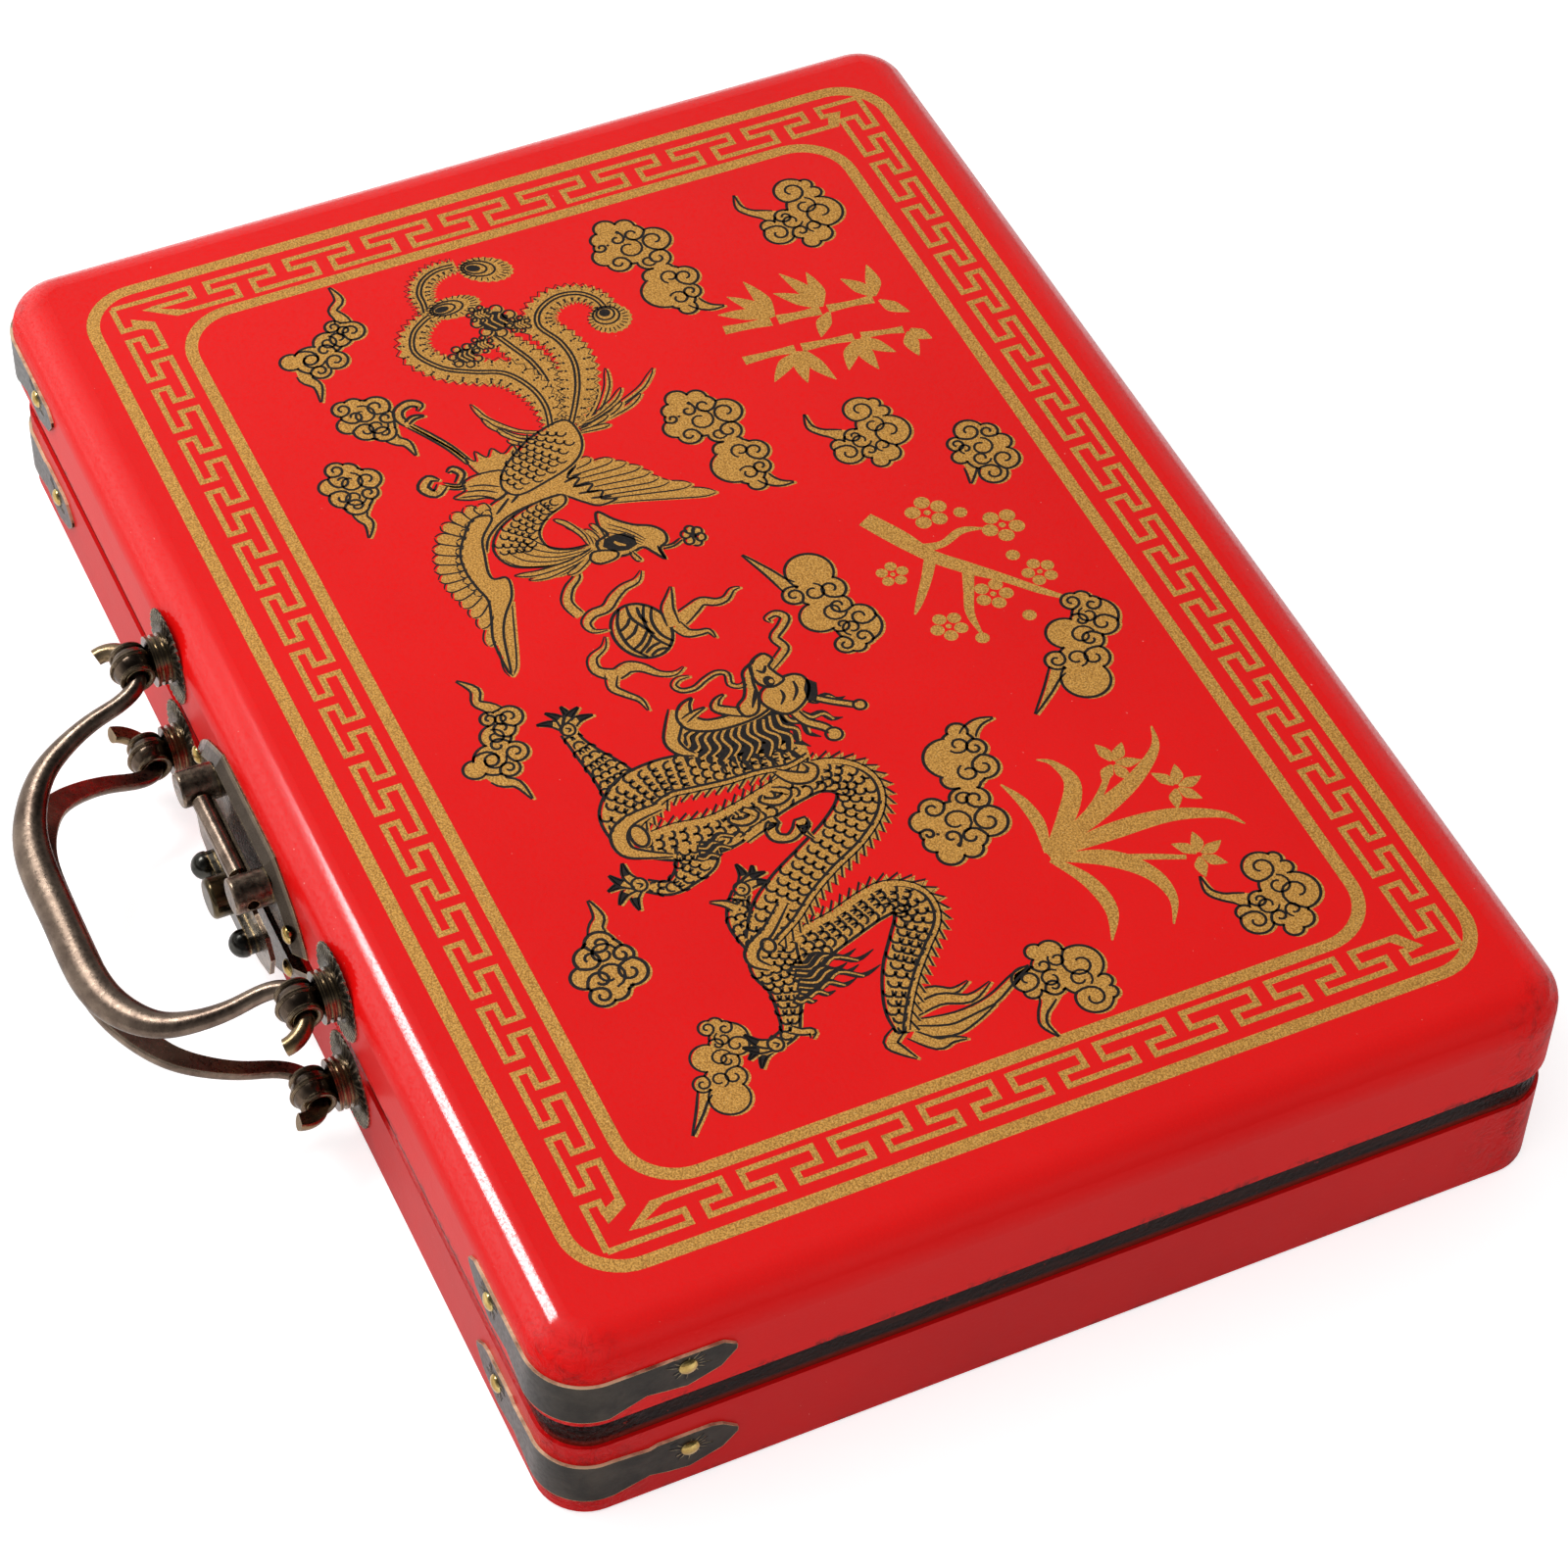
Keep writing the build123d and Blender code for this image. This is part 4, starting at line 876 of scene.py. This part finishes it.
dragon.form([(968, 604), (975, 592), (990, 591), (1005, 600), (1015, 613), (1019, 628), (1010, 640), (992, 648), (978, 642), (971, 626)], 1.8)
dragon.form([(929, 617), (940, 611), (948, 619), (960, 616), (972, 612), (977, 628), (967, 640), (952, 641), (939, 637), (931, 628)], 1.8)
dragon.area([(980, 590), (990, 582), (1004, 587), (1014, 594), (1010, 602), (994, 599)], 1)
for path in ([(946, 622, 1.5), (954, 628, 2.2), (948, 634, 1)], [(974, 646, 2), (984, 652, 2.5), (996, 660, 1)],
             [(978, 604, 1.4), (992, 606, 2), (1004, 616, 1)], [(984, 622, 1), (994, 622, 2), (1004, 630, 1)]):
    dragon.strip(bend(path), 1)
dragon.area([(968 + 8 * cos(pi * i / 5), 628 + 6.5 * sin(pi * i / 5)) for i in range(10)], 1)
dragon.area([(967 + 3.2 * cos(pi * i / 3), 628 + 2.8 * sin(pi * i / 3)) for i in range(6)], 0)
dragon.lay("dragon_print")

# --- printed plants ---
# Bamboo, plum blossom and orchid in plain gold, in the broad strokes of a writing brush, in the bare
# band above the two animals.
plants = Print()


def stroke(points):
    plants.strip(bend(points, steps=6), 0)


def leaf(x, y, tip_x, tip_y, half=9.0):
    """One leaf pressed from the brush: thin stem, full belly, long point."""
    dx, dy = tip_x - x, tip_y - y
    stroke([(x + dx * share - dy * bow, y + dy * share + dx * bow, half * width) for share, bow, width in
            ((0, 0, 0.2), (0.22, 0.03, 0.7), (0.45, 0.05, 1), (0.75, 0.03, 0.6), (1, 0, 0.06))])


def blossom(x, y, radius, turn=0.0):
    """A plum blossom: five round petals about a bare ring and a dot."""
    for i in range(5):
        way = radians(72 * i + turn)
        cx, cy = x + radius * 0.60 * cos(way), y + radius * 0.60 * sin(way)
        plants.area([(cx + radius * 0.34 * cos(pi * k / 8), cy + radius * 0.34 * sin(pi * k / 8)) for k in range(16)])
    plants.area([(x + radius * 0.15 * cos(pi * k / 5), y + radius * 0.15 * sin(pi * k / 5)) for k in range(10)])


# bamboo
for path in (
    [(450, 450, 7), (454, 420, 6), (457, 394, 8)], [(458, 386, 8), (461, 358, 6), (463, 334, 8)], [(464, 325, 7), (467, 296, 5), (470, 270, 7)],
    [(505, 450, 7), (507, 415, 5), (510, 388, 7)], [(511, 380, 7), (515, 345, 5), (519, 318, 7)], [(520, 309, 6), (525, 282, 4), (530, 260, 6)],
):
    stroke(path)
for place in (
    (452, 390, 400, 424), (452, 388, 384, 396), (450, 394, 424, 446), (458, 330, 398, 322), (458, 330, 388, 352), (458, 334, 416, 372),
    (466, 266, 414, 252), (466, 268, 424, 290), (474, 264, 506, 240), (516, 384, 566, 398), (516, 386, 550, 432), (516, 380, 574, 366),
    (524, 314, 578, 314), (524, 316, 566, 346), (522, 310, 560, 284), (535, 256, 576, 262), (532, 252, 556, 236), (470, 326, 504, 352),
):
    leaf(*place)
# plum blossom
for path in (
    [(788, 432, 11), (828, 410, 12), (866, 390, 9), (898, 362, 9), (930, 330, 6), (962, 302, 5), (992, 272, 1.5)],
    [(852, 398, 7), (856, 370, 5), (846, 342, 5), (852, 318, 1.5)], [(900, 360, 7), (930, 374, 6), (962, 388, 5), (996, 390, 1.5)],
    [(868, 390, 7), (898, 410, 6), (926, 432, 4), (940, 444, 1)],
):
    stroke(path)
for place in ((856, 296, 27, 10), (806, 364, 27, 40), (946, 352, 24, 0), (936, 290, 22, 30), (970, 418, 23, 15), (876, 440, 20, 50)):
    blossom(*place)
for x, y in ((994, 266), (1000, 392), (902, 306), (820, 330), (990, 330)):
    plants.area([(x + 8 * cos(pi * k / 6), y + 8 * sin(pi * k / 6)) for k in range(12)])
# orchid
for path in (
    [(1300, 466, 4), (1262, 424, 10), (1224, 398, 9), (1192, 404, 4), (1180, 418, 1)],
    [(1302, 466, 4), (1274, 400, 11), (1248, 340, 9), (1216, 296, 5), (1186, 284, 1)],
    [(1304, 466, 4), (1300, 394, 11), (1304, 326, 9), (1324, 276, 5), (1346, 258, 1)],
    [(1307, 466, 4), (1330, 412, 11), (1366, 380, 9), (1404, 374, 5), (1436, 390, 1)],
    [(1309, 466, 4), (1350, 444, 8), (1394, 440, 7), (1430, 458, 1)], [(1299, 466, 3), (1262, 456, 7), (1226, 458, 6), (1196, 468, 1)],
    [(1290, 440, 3), (1256, 386, 4), (1222, 352, 3)], [(1322, 430, 3), (1344, 376, 4), (1362, 336, 3)],
):
    stroke(path)
for x, y, turn in ((1216, 346, 20), (1364, 322, -10), (1272, 300, 0)):
    for way in (-95, -35, 25, 150, 205):
        c, s = cos(radians(way + turn)), sin(radians(way + turn))
        leaf(x + 3 * c, y + 3 * s, x + 31 * c, y + 31 * s, 7)
plants.lay("plant_print")
# --- dark rim ---
# The band between lid and base is the edge of the box wall, wrapped in the same leather and painted
# nearly black with thick gloss paint, which is crumpled and rubbed brown round the front corners.
rim_black, tree, shader, where = new_material("rim_black", Roughness=0.22, Specular_IOR_Level=0.05)
drawn = put(tree, "Mapping", {"Vector": where, "Scale": (0.12, 0.12, 1)}).outputs[0]
shade = between(tree, noise(tree, drawn, 700, 4, 0.6, 0.3), 0.45, 0.75)
colour = blend_colour(tree, shade, paint(28, 12, 10), paint(54, 27, 21))
# the lowest strip of the rim turns dark red: the leather's own red at its foot, painted dark as shade
height = put(tree, "SeparateXYZ", {0: where}).outputs["Z"]
colour = blend_colour(tree, between(tree, height, 0.0184, 0.0176), colour, paint(112, 34, 26))
worn_through = between(tree, noise(tree, where, 620, 4, 0.7), 0.66, 0.74)
tree.links.new(blend_colour(tree, worn_through, colour, paint(140, 40, 32)), shader.inputs["Base Color"])
relief = place_group(tree, coating, where, Half_Length=0.1194, Half_Width=0.0824)
crumple = put(tree, "TexVoronoi", {"Vector": where, "Scale": 900, "Detail": 1}, feature="F1").outputs["Distance"]
crumple = sum_of(tree, sum_of(tree, crumple, noise(tree, where, 300, 4, 0.6)), between(tree, relief["Corner"], 0, 1, 0.07, 1), "MULTIPLY")
bump(tree, shader, crumple, 0.0006)
dress(rim_black, *[f"rim_{side}_strip" for side in ("front", "back", "left", "right")])

# --- corner straps ---
# Thin steel blanks with leaf-shaped ends, blackened, bent round the corners and nailed down. The edges
# are rubbed to bright metal, and the faces that point up are painted pale as a painted highlight; round
# each nail the blank is stamped with short rays, and beside it has a small unused hole.

# rubbed edges, patina and grain of old metal
old_metal, inside, out = new_group(
    "old_metal", {"Vector": 0.0, "Cells": 300.0, "Edge": 0.0003}, {"Worn": "Float", "Patina": "Float", "Grain": "Float"}
)
old_metal.interface.items_tree["Vector"].socket_type = "NodeSocketVector"
rounded = put(old_metal, "Bevel", {"Radius": inside["Edge"]}, samples=6).outputs[0]
true = put(old_metal, "NewGeometry").outputs["Normal"]
likeness = put(old_metal, "VectorMath", {0: rounded, 1: true}, operation="DOT_PRODUCT").outputs["Value"]
patchy = noise(old_metal, inside["Vector"], 700.0, 4, 0.65)
rubbed = sum_of(old_metal, between(old_metal, likeness, 0.985, 0.90), between(old_metal, patchy, 0.30, 0.62, 0.15, 1), "MULTIPLY")
old_metal.links.new(rubbed, out.inputs["Worn"])
patches = noise(old_metal, inside["Vector"], 300.0, 5, 0.6, 0.3)
old_metal.links.new(inside["Cells"], patches.node.inputs["Scale"])
old_metal.links.new(between(old_metal, patches, 0.34, 0.68), out.inputs["Patina"])
old_metal.links.new(noise(old_metal, inside["Vector"], 1500.0, 2, 0.5), out.inputs["Grain"])


def metal(name, light, dark, worn, cells=300.0, edge=0.0003, smooth=0.26, rough=0.42, relief=0.00003):
    """Old metal: two shades of patina, edges rubbed to a third, a fine cast grain."""
    material, tree, shader, where = new_material(name, Metallic=1.0)
    age = place_group(tree, old_metal, where, Cells=cells, Edge=edge)
    colour = blend_colour(tree, age["Patina"], paint(*dark), paint(*light))
    colour = blend_colour(tree, age["Worn"], colour, paint(*worn))
    tree.links.new(colour, shader.inputs["Base Color"])
    tree.links.new(between(tree, age["Grain"], 0.3, 0.7, smooth, rough), shader.inputs["Roughness"])
    bump(tree, shader, age["Grain"], relief)
    return material


def new_piece(name, shape, body, slot, *materials):
    """Turns a bmesh into a piece that moves with a CAD body."""
    bmesh.ops.recalc_face_normals(shape, faces=shape.faces)
    mesh = bpy.data.meshes.new(name)
    shape.to_mesh(mesh)
    shape.free()
    for material in materials:
        mesh.materials.append(material)
    piece = bpy.data.objects.new(name, mesh)
    bpy.context.scene.collection.objects.link(piece)
    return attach(piece, body)


strap_black = metal("strap_black", (66, 59, 52), (36, 32, 29), (214, 190, 140), 150.0, 0.00022, 0.28, 0.40, 0.00001)
tree = strap_black.node_tree
shader = tree.nodes["Principled BSDF"]
# painted highlight: faces that point up get a pale colour and less metal, broken up by noise as if partly rubbed
flat = put(tree, "NewGeometry").outputs["True Normal"]
flat = put(tree, "VectorTransform", {0: flat}, vector_type="NORMAL", convert_from="WORLD", convert_to="OBJECT").outputs[0]
top_highlight_and_wear = between(tree, put(tree, "SeparateXYZ", {0: flat}).outputs["Z"], 0.6, 0.8)
where = put(tree, "TexCoord").outputs["Object"]
top_highlight_and_wear = sum_of(tree, top_highlight_and_wear, between(tree, noise(tree, where, 300, 4, 0.6), 0.32, 0.55, 0.35, 1), "MULTIPLY")
tree.links.new(blend_colour(tree, top_highlight_and_wear, shader.inputs["Base Color"].links[0].from_socket, paint(230, 214, 176)), shader.inputs["Base Color"])
tree.links.new(between(tree, top_highlight_and_wear, 0, 1, 1, 0.35), shader.inputs["Metallic"])
dress(strap_black, *[f"{half}_corner_strap_{side}" for half in ("lid", "base") for side in ("left", "right")])
stamped, tree, shader, where = new_material("stamped_mark", Metallic=0.6)
soot = between(tree, noise(tree, where, 900, 3), 0.4, 0.6)
tree.links.new(blend_colour(tree, soot, paint(14, 12, 11), paint(34, 30, 27)), shader.inputs["Base Color"])
shader.inputs["Roughness"].default_value = 0.5
ray_bright = metal("ray_bright", (112, 102, 88), (70, 63, 55), (196, 176, 136), 500.0)
for half, corner_x, corner_y in (("lid", 0.120, 0.083), ("base", 0.119, 0.082)):
    low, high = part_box(f"{half}_strap_nails")
    height = (low.z + high.z) / 2
    shape = bmesh.new()
    for sign in (-1, 1):
        for on_front in (True, False):
            def spot(along, up, out):
                """A point on a leg of the strap: along it from the nail to its tip, up, and out of its face."""
                if on_front:
                    return sign * (corner_x - 0.0208 - along), -corner_y - 0.0005 - out, height + up
                return sign * (corner_x + 0.0005 + out), -corner_y + 0.0208 + along, height + up

            def inlay(points, tone=0):
                rings = [[shape.verts.new(spot(along, up, out)) for along, up in points] for out in (-0.0001, 0.00003)]
                made = [shape.faces.new(ring) for ring in rings]
                for i in range(len(points)):
                    j = (i + 1) % len(points)
                    made.append(shape.faces.new((rings[0][i], rings[0][j], rings[1][j], rings[1][i])))
                for face in made:
                    face.material_index = tone

            for i, degree in enumerate((-60, -38, -16, 8, 30, 54, 78, 128, 152, 206, 232, 262)):
                c, s = cos(radians(degree)), sin(radians(degree))
                far = 0.0032 + 0.0006 * (i % 3 - 1)
                for tone, shift, half_width in ((0, 0.0, 0.00024), (1, 0.00030, 0.0001)):
                    outline = ((0.0014, shift), (0.0022, shift + half_width), (far, shift), (0.0022, shift - half_width))
                    inlay([(reach * c - side * s, 0.8 * (reach * s + side * c)) for reach, side in outline], tone)
            inlay([(-0.0031, 0.0016), (-0.0020, 0.0018), (-0.0020, 0.0026), (-0.0031, 0.0025)])
    new_piece(f"{half}_strap_stamps", shape, half, "antique_bronze", stamped, ray_bright)

# --- nails ---
# Domed brass nails, bright on top and dull in the hollow round the head.
brass = metal("brass", (222, 192, 120), (168, 134, 72), (250, 232, 170), 700.0, 0.0004, 0.16, 0.30, 0.00002)
dress(brass, *[f"{half}_{what}_nails" for half in ("lid", "base") for what in ("strap", "plate")])
leaf_brass = metal("leaf_brass", (150, 128, 88), (104, 86, 58), (210, 188, 130), 600.0, 0.0004, 0.24, 0.38)
dress(leaf_brass, "lid_leaf_nails", "base_leaf_nails")

# --- handles ---
# Two cast bails with half-round grips, browned all over; the grips shine from the hand and the curled
# ends have lost their brown and show brass.
for half in ("lid", "base"):
    bronze = metal(f"{half}_handle_bronze", (150, 131, 115), (98, 82, 72), (196, 176, 150), 170.0, 0.0006, 0.22, 0.38, 0.000018)
    tree = bronze.node_tree
    shader = tree.nodes["Principled BSDF"]
    where = put(tree, "TexCoord").outputs["Object"]
    aside = sum_of(tree, put(tree, "SeparateXYZ", {0: where}).outputs["X"], 0.002, "SUBTRACT")
    aside = put(tree, "Math", {0: aside}, operation="ABSOLUTE").outputs[0]
    rubbed = between(tree, noise(tree, where, 500, 4), 0.3, 0.6, 0.35, 0.9)
    brassy = sum_of(tree, between(tree, aside, 0.0385, 0.0405), rubbed, "MULTIPLY")
    browned = shader.inputs["Base Color"].links[0].from_socket
    tree.links.new(blend_colour(tree, brassy, browned, paint(150, 127, 92)), shader.inputs["Base Color"])
    dress(bronze, f"{half}_handle")

# --- eyes and rosettes ---
# Each bail end turns in a drilled ball with a moulded lip round the hole and a bead round its middle.
# The ball's grooved collar clamps a pressed rosette, fluted out to a saw-toothed edge.
eye_bronze = metal("eye_bronze", (124, 106, 90), (72, 60, 52), (200, 176, 132), 260.0, 0.0004, 0.18, 0.28, 0.00001)
dress(eye_bronze, *[f"{half}_eye_{side}" for half in ("lid", "base") for side in ("left", "right")])
rosette_grey = metal("rosette_grey", (112, 106, 98), (62, 57, 52), (216, 204, 180), 420.0, 0.00035, 0.24, 0.36, 0.00001)
nut_steel = metal("nut_steel", (170, 168, 162), (128, 126, 120), (215, 212, 205), 300.0, 0.0004, 0.26, 0.38)
dress(nut_steel, "lid_eye_nuts", "base_eye_nuts")


def bead_ring(shape, centre, axis_out, major, minor, around=40, across=10):
    """A round bead about the line of the handle's pin."""
    loops = []
    for i in range(around):
        turn = 2 * pi * i / around
        loop = []
        for j in range(across):
            roll = 2 * pi * j / across
            reach = major + minor * cos(roll)
            loop.append(shape.verts.new((
                centre[0] + axis_out + minor * sin(roll), centre[1] + reach * cos(turn), centre[2] + reach * sin(turn)
            )))
        loops.append(loop)
    for i in range(around):
        for j in range(across):
            one, two = loops[i], loops[(i + 1) % around]
            shape.faces.new((one[j], two[j], two[(j + 1) % across], one[(j + 1) % across]))


for half, front in (("lid", 0.083), ("base", 0.082)):
    for side in ("left", "right"):
        low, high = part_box(f"{half}_rosette_{side}")
        x, z, radius, depth = (low.x + high.x) / 2, (low.z + high.z) / 2, (high.x - low.x) / 2, high.y - low.y
        shape = bmesh.new()
        for offset, major, minor in ((-0.0026, 0.0025, 0.0005), (0.0026, 0.0025, 0.0005), (0.0, 0.0033, 0.0005)):
            bead_ring(shape, (x, -front - 0.0062, z), offset, major, minor)
        new_piece(f"{half}_eye_beads_{side}", shape, half, "antique_bronze", eye_bronze)
        shape = bmesh.new()
        rings = []
        for share, lift, dip in ((0.50, 1.0, 0), (0.60, 1.0, 0.15), (0.78, 0.95, 0.5), (0.94, 0.85, 0.6), (1, 0.7, 0.6), (1, 0, 0), (0.5, 0, 0)):
            ring = []
            for i in range(72):
                valley = i % 2
                reach = radius * share * (1 - 0.055 * valley * (share > 0.9))
                y = high.y - depth * max(lift - dip * valley, 0)
                ring.append(shape.verts.new((x + reach * cos(pi * i / 36), y, z + reach * sin(pi * i / 36))))
            rings.append(ring)
        for one, two in zip(rings, rings[1:] + rings[:1]):
            for i in range(72):
                shape.faces.new((one[i], one[(i + 1) % 72], two[(i + 1) % 72], two[i]))
        disc = new_piece(f"{half}_fluted_rosette_{side}", shape, half, "antique_bronze", rosette_grey)
        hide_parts(f"{half}_rosette_{side}")

# --- latch ---
# Cast posts carry the pin; the flap is pressed from sheet with its top rolled round the pin. The arched
# plates have bevelled edges rubbed bright, and their field behind the flap is painted dark as shade.
post_black = metal("post_black", (168, 146, 126), (80, 68, 60), (212, 188, 140), 700.0, 0.00045, 0.22, 0.38, 0.00003)
dress(post_black, "latch_post_left", "latch_post_right", "latch_catch")
roll_bronze = metal("roll_bronze", (158, 138, 122), (104, 88, 76), (200, 180, 146), 300.0, 0.0004, 0.20, 0.30, 0.00001)
dress(roll_bronze, "latch_pin", "latch_flap")
plate_bronze = metal("plate_bronze", (134, 118, 102), (104, 90, 78), (226, 206, 160), 160.0, 0.00035, 0.22, 0.34, 0.00001)
tree = plate_bronze.node_tree
shader = tree.nodes["Principled BSDF"]
# painted shade: the plate's flat field in front of its bevel is darkened, as a face turned from the light
ahead = put(tree, "SeparateXYZ", {0: put(tree, "TexCoord").outputs["Object"]}).outputs["Y"]
field_shade = between(tree, ahead, -0.08370, -0.08375, 0, 0.6)
tree.links.new(blend_colour(tree, field_shade, shader.inputs["Base Color"].links[0].from_socket, paint(50, 44, 40)), shader.inputs["Base Color"])
dress(plate_bronze, "lid_latch_plate", "base_latch_plate")
stud_dark = metal("stud_dark", (92, 90, 84), (40, 40, 38), (200, 180, 136), 500.0, 0.0005, 0.18, 0.28, 0.00001)
dress(stud_dark, "flap_studs", "flap_bar")
knob_brass = metal("knob_brass", (120, 104, 76), (62, 54, 42), (214, 186, 120), 420.0, 0.0008, 0.18, 0.28, 0.00001)
dress(knob_brass, "flap_knob")

# --- back hinges ---
# Two strap hinges of the same browned sheet, with knuckles about a steel pin and brass nails.
hinge_bronze = metal("hinge_bronze", (112, 98, 78), (62, 53, 43), (204, 180, 134), 260.0, 0.0004, 0.24, 0.36, 0.00001)
dress(hinge_bronze, *[f"{half}_hinge_leaf_{side}" for half in ("lid", "base") for side in ("left", "right")])
dress(nut_steel, "hinge_pins")

# --- boards ---
# The boxes and dividers are sawn from pale board, seen only where the leather ends inside.


def bare_wood(name, light, dark, lengthways):
    """Pale board with its grain along x, y or z, as lengthways says."""
    material, tree, shader, where = new_material(name, Roughness=0.62, Specular_IOR_Level=0.3)
    stretch = [9.0 if axis == lengthways else 160.0 for axis in "xyz"]
    drawn = put(tree, "Mapping", {"Vector": where, "Scale": stretch}).outputs[0]
    rings = between(tree, noise(tree, drawn, 1.0, 4, 0.6, 0.6), 0.35, 0.65)
    fibres = between(tree, noise(tree, drawn, 6.0, 3, 0.6), 0.45, 0.7, 0, 0.45)
    colour = blend_colour(tree, rings, paint(*light), paint(*dark))
    tree.links.new(blend_colour(tree, fibres, colour, paint(*[c * 0.78 for c in dark])), shader.inputs["Base Color"])
    bump(tree, shader, sum_of(tree, rings, fibres), 0.00006)
    return material


wood_x = bare_wood("board_along", (206, 172, 128), (178, 140, 96), "x")
wood_y = bare_wood("board_across", (206, 172, 128), (178, 140, 96), "y")
for half in ("lid", "base"):
    dress(wood_x, f"{half}_front_board", f"{half}_back_board")
    dress(wood_y, f"{half}_left_board", f"{half}_right_board")
dress(wood_x, "lid_top_board", "base_bottom_board")

# --- linings, inner frame and dividers ---
# Card covered with flocked black cloth lies on the floor and in the lid; the frame that guides the lid
# and the dividers of the tray are wrapped in the same cloth.
flock, tree, shader, where = new_material("flock_cloth", Roughness=0.92, Specular_IOR_Level=0.15, Sheen_Weight=0.35)
shader.inputs["Sheen Tint"].default_value = paint(120, 110, 112)
pile = noise(tree, where, 3200, 2, 0.6)
drift = between(tree, noise(tree, where, 40, 4, 0.6), 0.35, 0.65)
colour = blend_colour(tree, drift, paint(26, 24, 26), paint(38, 35, 37))
colour = blend_colour(tree, between(tree, pile, 0.55, 0.75, 0, 0.6), colour, paint(66, 62, 64))
tree.links.new(colour, shader.inputs["Base Color"])
bump(tree, shader, pile, 0.00015)
dress(flock, "lid_lining", "floor_lining", "inner_frame", "cross_divider", "side_divider")

# --- floor and studio ---
# A white table in a room that is bright behind the case and dim behind the viewer. One panel hangs
# beyond the front left and draws the glare along the front edge; a wider one lights the top evenly.
floor_mesh = bpy.data.meshes.new("floor")
rim = 1.6
floor_mesh.from_pydata([(x, y, -0.0002) for x, y in ((-rim, -rim), (rim, -rim), (rim, rim), (-rim, rim))], [], [(0, 1, 2, 3)])
floor = bpy.data.objects.new("floor", floor_mesh)
bpy.context.scene.collection.objects.link(floor)
floor_white, tree, shader, where = new_material("floor_white", Roughness=0.9, Specular_IOR_Level=0.1)
shader.inputs["Base Color"].default_value = paint(222, 222, 222)
shader.inputs["Emission Color"].default_value = (1, 1, 1, 1)
rays = put(tree, "LightPath").outputs
mirrored = sum_of(tree, rays["Is Glossy Ray"], rays["Is Transmission Ray"], "MAXIMUM")
glow = sum_of(tree, between(tree, rays["Is Camera Ray"], 0, 1, 0, 0.62), between(tree, mirrored, 0, 1, 0, 0.30))
tree.links.new(glow, shader.inputs["Emission Strength"])
# seen from below it is clear, so that the case's underside shows
from_above = sum_of(tree, 1.0, put(tree, "NewGeometry").outputs["Backfacing"], "SUBTRACT")
tree.links.new(from_above, shader.inputs["Alpha"])
floor_mesh.materials.append(floor_white)

world = bpy.data.worlds.new("studio")
bpy.context.scene.world = world
world.use_nodes = True
tree = world.node_tree
rays = put(tree, "LightPath").outputs
toward = put(tree, "SeparateXYZ", {0: put(tree, "TexCoord").outputs["Generated"]}).outputs
mirrored = sum_of(tree, rays["Is Glossy Ray"], rays["Is Transmission Ray"], "MAXIMUM")
room = sum_of(
    tree, between(tree, toward["Z"], 0.40, 0.75, 0.85, 0.18), between(tree, toward["X"], -0.35, 0.25, 1, 0.40), "MULTIPLY"
)
room = sum_of(tree, room, between(tree, toward["Y"], -0.1, 0.4, 1, 0.35), "MULTIPLY")
level = sum_of(tree, between(tree, mirrored, 0, 1, 0.45, 0), sum_of(tree, mirrored, room, "MULTIPLY"))
level = sum_of(tree, level, rays["Is Camera Ray"], "MAXIMUM")
tree.links.new(level, tree.nodes["Background"].inputs["Strength"])
tree.nodes["Background"].inputs["Color"].default_value = (1, 1, 1, 1)


def softbox(name, place, size, watts, mirrored=True):
    """A level panel of light that faces down, and may be left out of reflections."""
    lamp = bpy.data.lights.new(name, "AREA")
    lamp.shape = "RECTANGLE"
    lamp.size, lamp.size_y = size
    lamp.energy = watts
    holder = bpy.data.objects.new(name, lamp)
    holder.location = place
    holder.visible_glossy = mirrored
    bpy.context.scene.collection.objects.link(holder)


softbox("key", (-0.46, -0.43, 0.80), (0.27, 0.40), 4.9)
softbox("fill", (0.45, -0.84, 1.05), (1.8, 1.6), 8.8, mirrored=False)

bpy.context.scene.view_settings.view_transform = "Standard"
